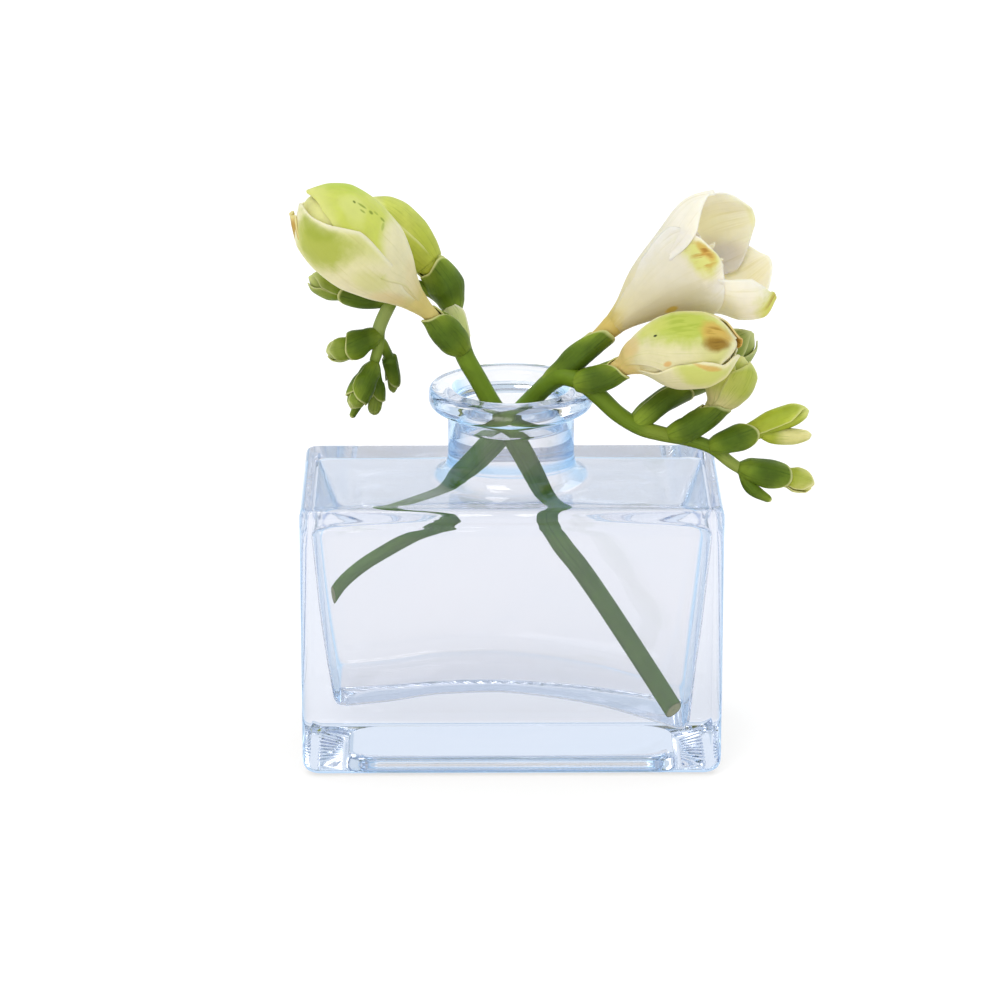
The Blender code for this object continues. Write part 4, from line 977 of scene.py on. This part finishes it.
# the open flower: three outer petals, three inner ones between them, the far ones longer at the mouth
def makeRightFlower(c):
    f = florets["right_flower"]
    outer = dict(near=20.0, wide=c["wide"], drop=0.24, curl=c["curl"], wave=0.7, ripple=0.4)
    inner = dict(near=22.0, wide=c["slim"], drop=0.2, curl=c["curl"], wave=0.7, ripple=0.5)
    plain = plantFinish("white petal", openPaint, through=0.35)
    inside = plantFinish("open flower tube", {**openPaint, "Middle From": 0.7, "Middle To": 1.13,
                                              "Tip From": 1.3, "Tip To": 1.4, "Margin Amount": 0.0})
    skins = {name: plantFinish("white petal, " + name, openPaint, c[name], through=through)
             for name, through in (("near", 0.35), ("upper", 0.35), ("innerFar", 0.6), ("far", 0.6),
                                   ("innerLower", 0.45))}
    placeAll("right_flower", [
        (budCore("openFlower.tube", f, scale=0.82, narrowFrom=20.5, stop=27.0), inside),
        (petal("openFlower.upper", f, turn=4, far=56.4, tuck=0.2,
               out=((0, 0), (0.5, 0.2), (0.8, 1.0), (1, -1.2)), **outer), skins["upper"]),
        (petal("openFlower.near", f, turn=98, far=50.2, tuck=0.3,
               out=((0, 0), (0.5, 0.3), (0.8, 0.4), (1, -1.0)), **outer), skins["near"]),
        (petal("openFlower.far", f, turn=238, far=64.0, tuck=0.5,
               out=((0, 0), (0.5, 0), (0.8, -0.6), (1, -3.6)), **outer), skins["far"]),
        (petal("openFlower.innerNear", f, turn=50, far=48.5, out=((0, -0.5), (0.7, -0.9), (1, -2.6)),
               **inner), plain),
        (petal("openFlower.innerLower", f, turn=166, far=60.0,
               out=((0, -0.5), (0.4, -0.6), (0.62, 0.4), (0.76, 2.2), (0.88, 2.4), (1, -0.6)),
               **{**inner, "curl": c["cupped"], "drop": 0.12}), skins["innerLower"]),
        (petal("openFlower.innerFar", f, turn=304, far=64.5, out=((0, -0.5), (0.7, -1.4), (1, -4.4)),
               **inner), skins["innerFar"])])


halfPaint = {"Base": (212, 188, 120), "Middle": (222, 214, 170), "Tip": (212, 210, 136),
             "Middle From": 0.02, "Middle To": 0.25, "Tip From": 0.5, "Tip To": 0.9,
             "Margin": (238, 230, 192), "Margin Amount": 0.8, "Margin Width": 0.1,
             "Vein": (172, 182, 70), "Vein Amount": 0.3, "Blotch Amount": 0.14}
halfSet = {
    "wide": ((0, 1.6), (0.25, 5.0), (0.5, 9.4), (0.75, 9.6), (0.92, 7.0), (1, 3.6)),
    "slim": ((0, 1.6), (0.25, 4.2), (0.5, 7.2), (0.75, 7.6), (0.92, 5.6), (1, 3.4)),
    "front": [((182, 194, 76), 0.3, 0.58, 0.36, 0.4, 0.95, (160, 176, 56), 0.7, 22.0),
              ((206, 206, 108), 0.2, 0.34, 0.2, 0.16, 0.6),
              ((208, 172, 84), 0.42, 0.84, 0.2, 0.16, 0.95, (160, 122, 34), 0.9, 18.0),
              ((148, 112, 26), 0.57, 0.83, 0.12, 0.13, 0.95, (118, 88, 16), 0.7),
              ((218, 160, 80), 0.84, 0.47, 0.06, 0.035, 0.7),
              ((222, 186, 124), 0.3, 0.14, 0.5, 0.1, 0.5),
              ((24, 30, 10), 0.407, 0.345, 0.026, 0.015, 1.0)],
    "low": [((194, 202, 92), 0.2, 0.75, 0.3, 0.24, 0.8),
            ((212, 160, 76), 0.1, 0.9, 0.12, 0.06, 0.7)],
    "edge": [((206, 158, 72), 0.45, 0.97, 0.5, 0.09, 0.95, (168, 116, 40), 0.7),
             ((196, 202, 100), 0.5, 0.7, 0.5, 0.2, 0.6)]}


# the half-open flower: three outer petals nearly closed over three inner ones
def makeRightSecond(c):
    f = florets["right_second_flower"]
    skin = plantFinish("half-open flower inner petal", halfPaint)
    inside = plantFinish("half-open flower tube", {**halfPaint, "Middle From": 0.46, "Middle To": 0.75,
                                                   "Margin Amount": 0.0})
    front = plantFinish("half-open flower front petal", halfPaint, c["front"])
    low = plantFinish("half-open flower lower petal", {**halfPaint, "Tip": (222, 216, 160)}, c["low"])
    edge = plantFinish("half-open flower far petal", halfPaint, c["edge"])
    pieces = [(budCore("halfOpenFlower.tube", f, scale=0.84, narrowFrom=15.0, stop=27.0), inside)]
    for k, (turn, far, out, tuck, finish) in enumerate((
            (58, 41.0, ((0, 0.1), (0.33, 0.1), (0.85, -0.1), (1, -2.2)), 0.0, front),
            (154, 41.6, ((0, -0.2), (0.2, 0.0), (0.45, 0.7), (0.85, 0.45), (1, -1.9)), -0.4, low),
            (298, 42.4, ((0, -0.2), (0.33, -0.4), (0.85, -0.35), (1, -2.1)), 0.0, edge))):
        pieces.append((petal("halfOpenFlower.outer%d" % (k + 1), f, 15.0, far, turn, c["wide"], out=out,
                             tuck=tuck, drop=0.3, ripple=0.25), finish))
    for k, (turn, far) in enumerate(((0, 41.0), (120, 39.5), (240, 41.0))):
        pieces.append((petal("halfOpenFlower.inner%d" % (k + 1), f, 16.5, far, turn, c["slim"],
                             out=((0, -0.5), (0.85, -1.0), (1, -2.5)), drop=0.26, ripple=0.2), skin))
    placeAll("right_second_flower", pieces)


budPaint = {"Base": (112, 134, 34), "Middle": (124, 142, 46), "Tip": (160, 172, 96),
            "Middle From": 0.3, "Middle To": 0.6, "Tip From": 0.7, "Tip To": 1.0,
            "Margin": (196, 202, 140), "Margin Amount": 0.7, "Margin Width": 0.1,
            "Vein": (84, 108, 24), "Vein Amount": 0.5, "Blotch Amount": 0.25}
limePaint = {**budPaint, "Base": (160, 172, 52), "Middle": (158, 172, 48), "Tip": (182, 192, 78),
             "Centre": (138, 156, 34), "Centre Amount": 0.5, "Centre Width": 0.7,
             "Margin": (212, 214, 142), "Margin Width": 0.14, "Vein": (128, 146, 30)}
brightPaint = {**limePaint, "Base": (176, 186, 66), "Middle": (194, 200, 88), "Tip": (196, 202, 92),
               "Centre": (178, 188, 68), "Margin": (216, 218, 146)}
palePaint = {**limePaint, "Middle": (182, 186, 92), "Tip": (206, 204, 130),
             "Centre": (150, 164, 56), "Margin": (222, 218, 160)}
twoTonePaint = {**limePaint, "Base": (208, 198, 136), "Middle": (188, 194, 92), "Middle From": 0.1,
                "Middle To": 0.5, "Centre Amount": 0.3}
budPaints = {"green": budPaint, "lime": limePaint, "bright lime": brightPaint, "pale": palePaint,
             "two-tone": twoTonePaint}

# each bud: its finish, how deep it is furrowed, and for each outer petal where it faces and how far
# it lies out
budSet = {
    "left_second_bud": ("bright lime", 0.04, ((228, 0.2), (-14, 0.25), (104, 0.6))),
    "left_third_bud": ("green", 0.06, ((40, 0.3), (160, 0.15))),
    "left_fourth_bud": ("green", 0.06, ((70, 0.25), (200, 0.1))),
    "left_fifth_bud": ("green", 0.16, ()), "left_sixth_bud": ("green", 0.16, ((60, 0.2),)),
    "left_seventh_bud": ("green", 0.16, ()),
    "right_third_bud": ("green", 0.06, ((40, 0.2), (150, 0.35), (270, 0.2))),
    "right_fourth_bud": ("two-tone", 0.04, ((120, 0.6), (20, 0.3), (250, 0.3))),
    "right_fifth_bud": ("lime", 0.1, ((40, 0.35), (280, 0.2))),
    "right_sixth_bud": ("pale", 0.16, ((60, 0.3), (200, 0.15)))}


def makeBuds(c):
    skins = {name: plantFinish(name + " bud", paint) for name, paint in budPaints.items()}
    for name, (skin, notch, lobes) in c.items():
        side, which = name.split("_")[:2]
        label = side + which.capitalize() + "Bud"
        f = florets[name]
        near, far = max(f["rims"]) * 0.8, f["shape"][-1][0]
        pieces = [budCore(label, f, scale=0.9 if lobes else 0.96, narrowFrom=near, notch=notch)]
        for k, (turn, lift) in enumerate(lobes):
            pieces.append(petal("%s.lobe%d" % (label, k + 1), f, near, far - 0.4, turn,
                                hugging(f, near, far, 1.15), drop=0.3, rib=0.05, thick=0.3, along=40,
                                out=((0, 0.3 + lift * 0.3), (0.5, 0.45 + lift), (1, 0.5 + lift)),
                                across=26))
        placeAll(name, [(piece, skins[skin]) for piece in pieces])


# the second, lower lobe of the fifth bud on the right
lowerLobe = {"points": [(58.6, -10.6, 81.9), (62.0, -11.3, 80.9), (66.0, -12.0, 80.8), (69.6, -12.5, 81.2),
                        (70.8, -12.7, 81.4)],
             "radii": [1.5, 2.1, 2.0, 1.3, 0.6],
             "paint": {**palePaint, "Middle": (208, 204, 138), "Tip": (218, 212, 152)}}


def makeLowerLobe(c):
    place(tube("rightFifthBud.lowerLobe", c["points"], c["radii"], step=0.3), "right_fifth_bud",
          plantFinish("pale lower lobe", c["paint"]))


# in the open flower's mouth: three filaments with their anthers, and the style with its three arms;
# spots are distances along the stalk and away from it
stamenSet = {
    "paint": {"Base": (226, 218, 180), "Middle": (232, 226, 196), "Tip": (240, 234, 208), "Vein Amount": 0.1},
    "filamentTurns": (40, 160, 280), "filament": ((33.7, 0.3), (39.0, 1.65), (46.0, 3.0)),
    "filamentRadii": [0.6, 0.5, 0.5], "anther": (-1.2, 2.2, 5.6), "antherRadii": [0.6, 0.95, 0.5],
    "style": ((33.3, 0, 0), (40.0, 0, 0.2), (48.0, 0.5, 0.6)), "styleRadii": [0.9, 0.5, 0.5],
    "armTurns": (0, 120, 240), "arm": ((47.0, 0.35), (50.0, 1.6), (52.0, 3.0)),
    "armRadii": [0.5, 0.42, 0.42]}


def makeStamens(c):
    stalk = Stalk(florets["right_flower"]["path"])
    pale = plantFinish("pale stamen", c["paint"])

    def rod(name, points, radii, sides, step):
        place(tube(name, points, radii, sides=sides, step=step), "stamens", pale)

    for k, turn in enumerate(c["filamentTurns"]):
        points = [stalk.at(h, math.radians(turn), away) for h, away in c["filament"]]
        rod("filament%d" % (k + 1), points, c["filamentRadii"], 14, 0.5)
        tangent = stalk.frame(c["filament"][-1][0])[1]
        rod("anther%d" % (k + 1), [points[-1] + tangent * h for h in c["anther"]], c["antherRadii"], 16, 0.3)
    rod("style", [stalk.at(*spot) for spot in c["style"]], c["styleRadii"], 14, 0.5)
    for k, turn in enumerate(c["armTurns"]):
        points = [stalk.at(h, math.radians(turn), away) for h, away in c["arm"]]
        rod("styleArm%d" % (k + 1), points, c["armRadii"], 12, 0.4)


makeSpray(leftStem, "left_stem", [n for n in florets if n.startswith("left")])
makeSpray(rightStem, "right_stem", [n for n in florets if n.startswith("right")])
makeSheath(sheathSet)
print("stems and bracts made")
makeLeftFlower(leftFlowerSet)
makeRightFlower(openSet)
makeRightSecond(halfSet)
makeBuds(budSet)
makeLowerLobe(lowerLobe)
makeStamens(stamenSet)
print("flowers, buds and stamens made")
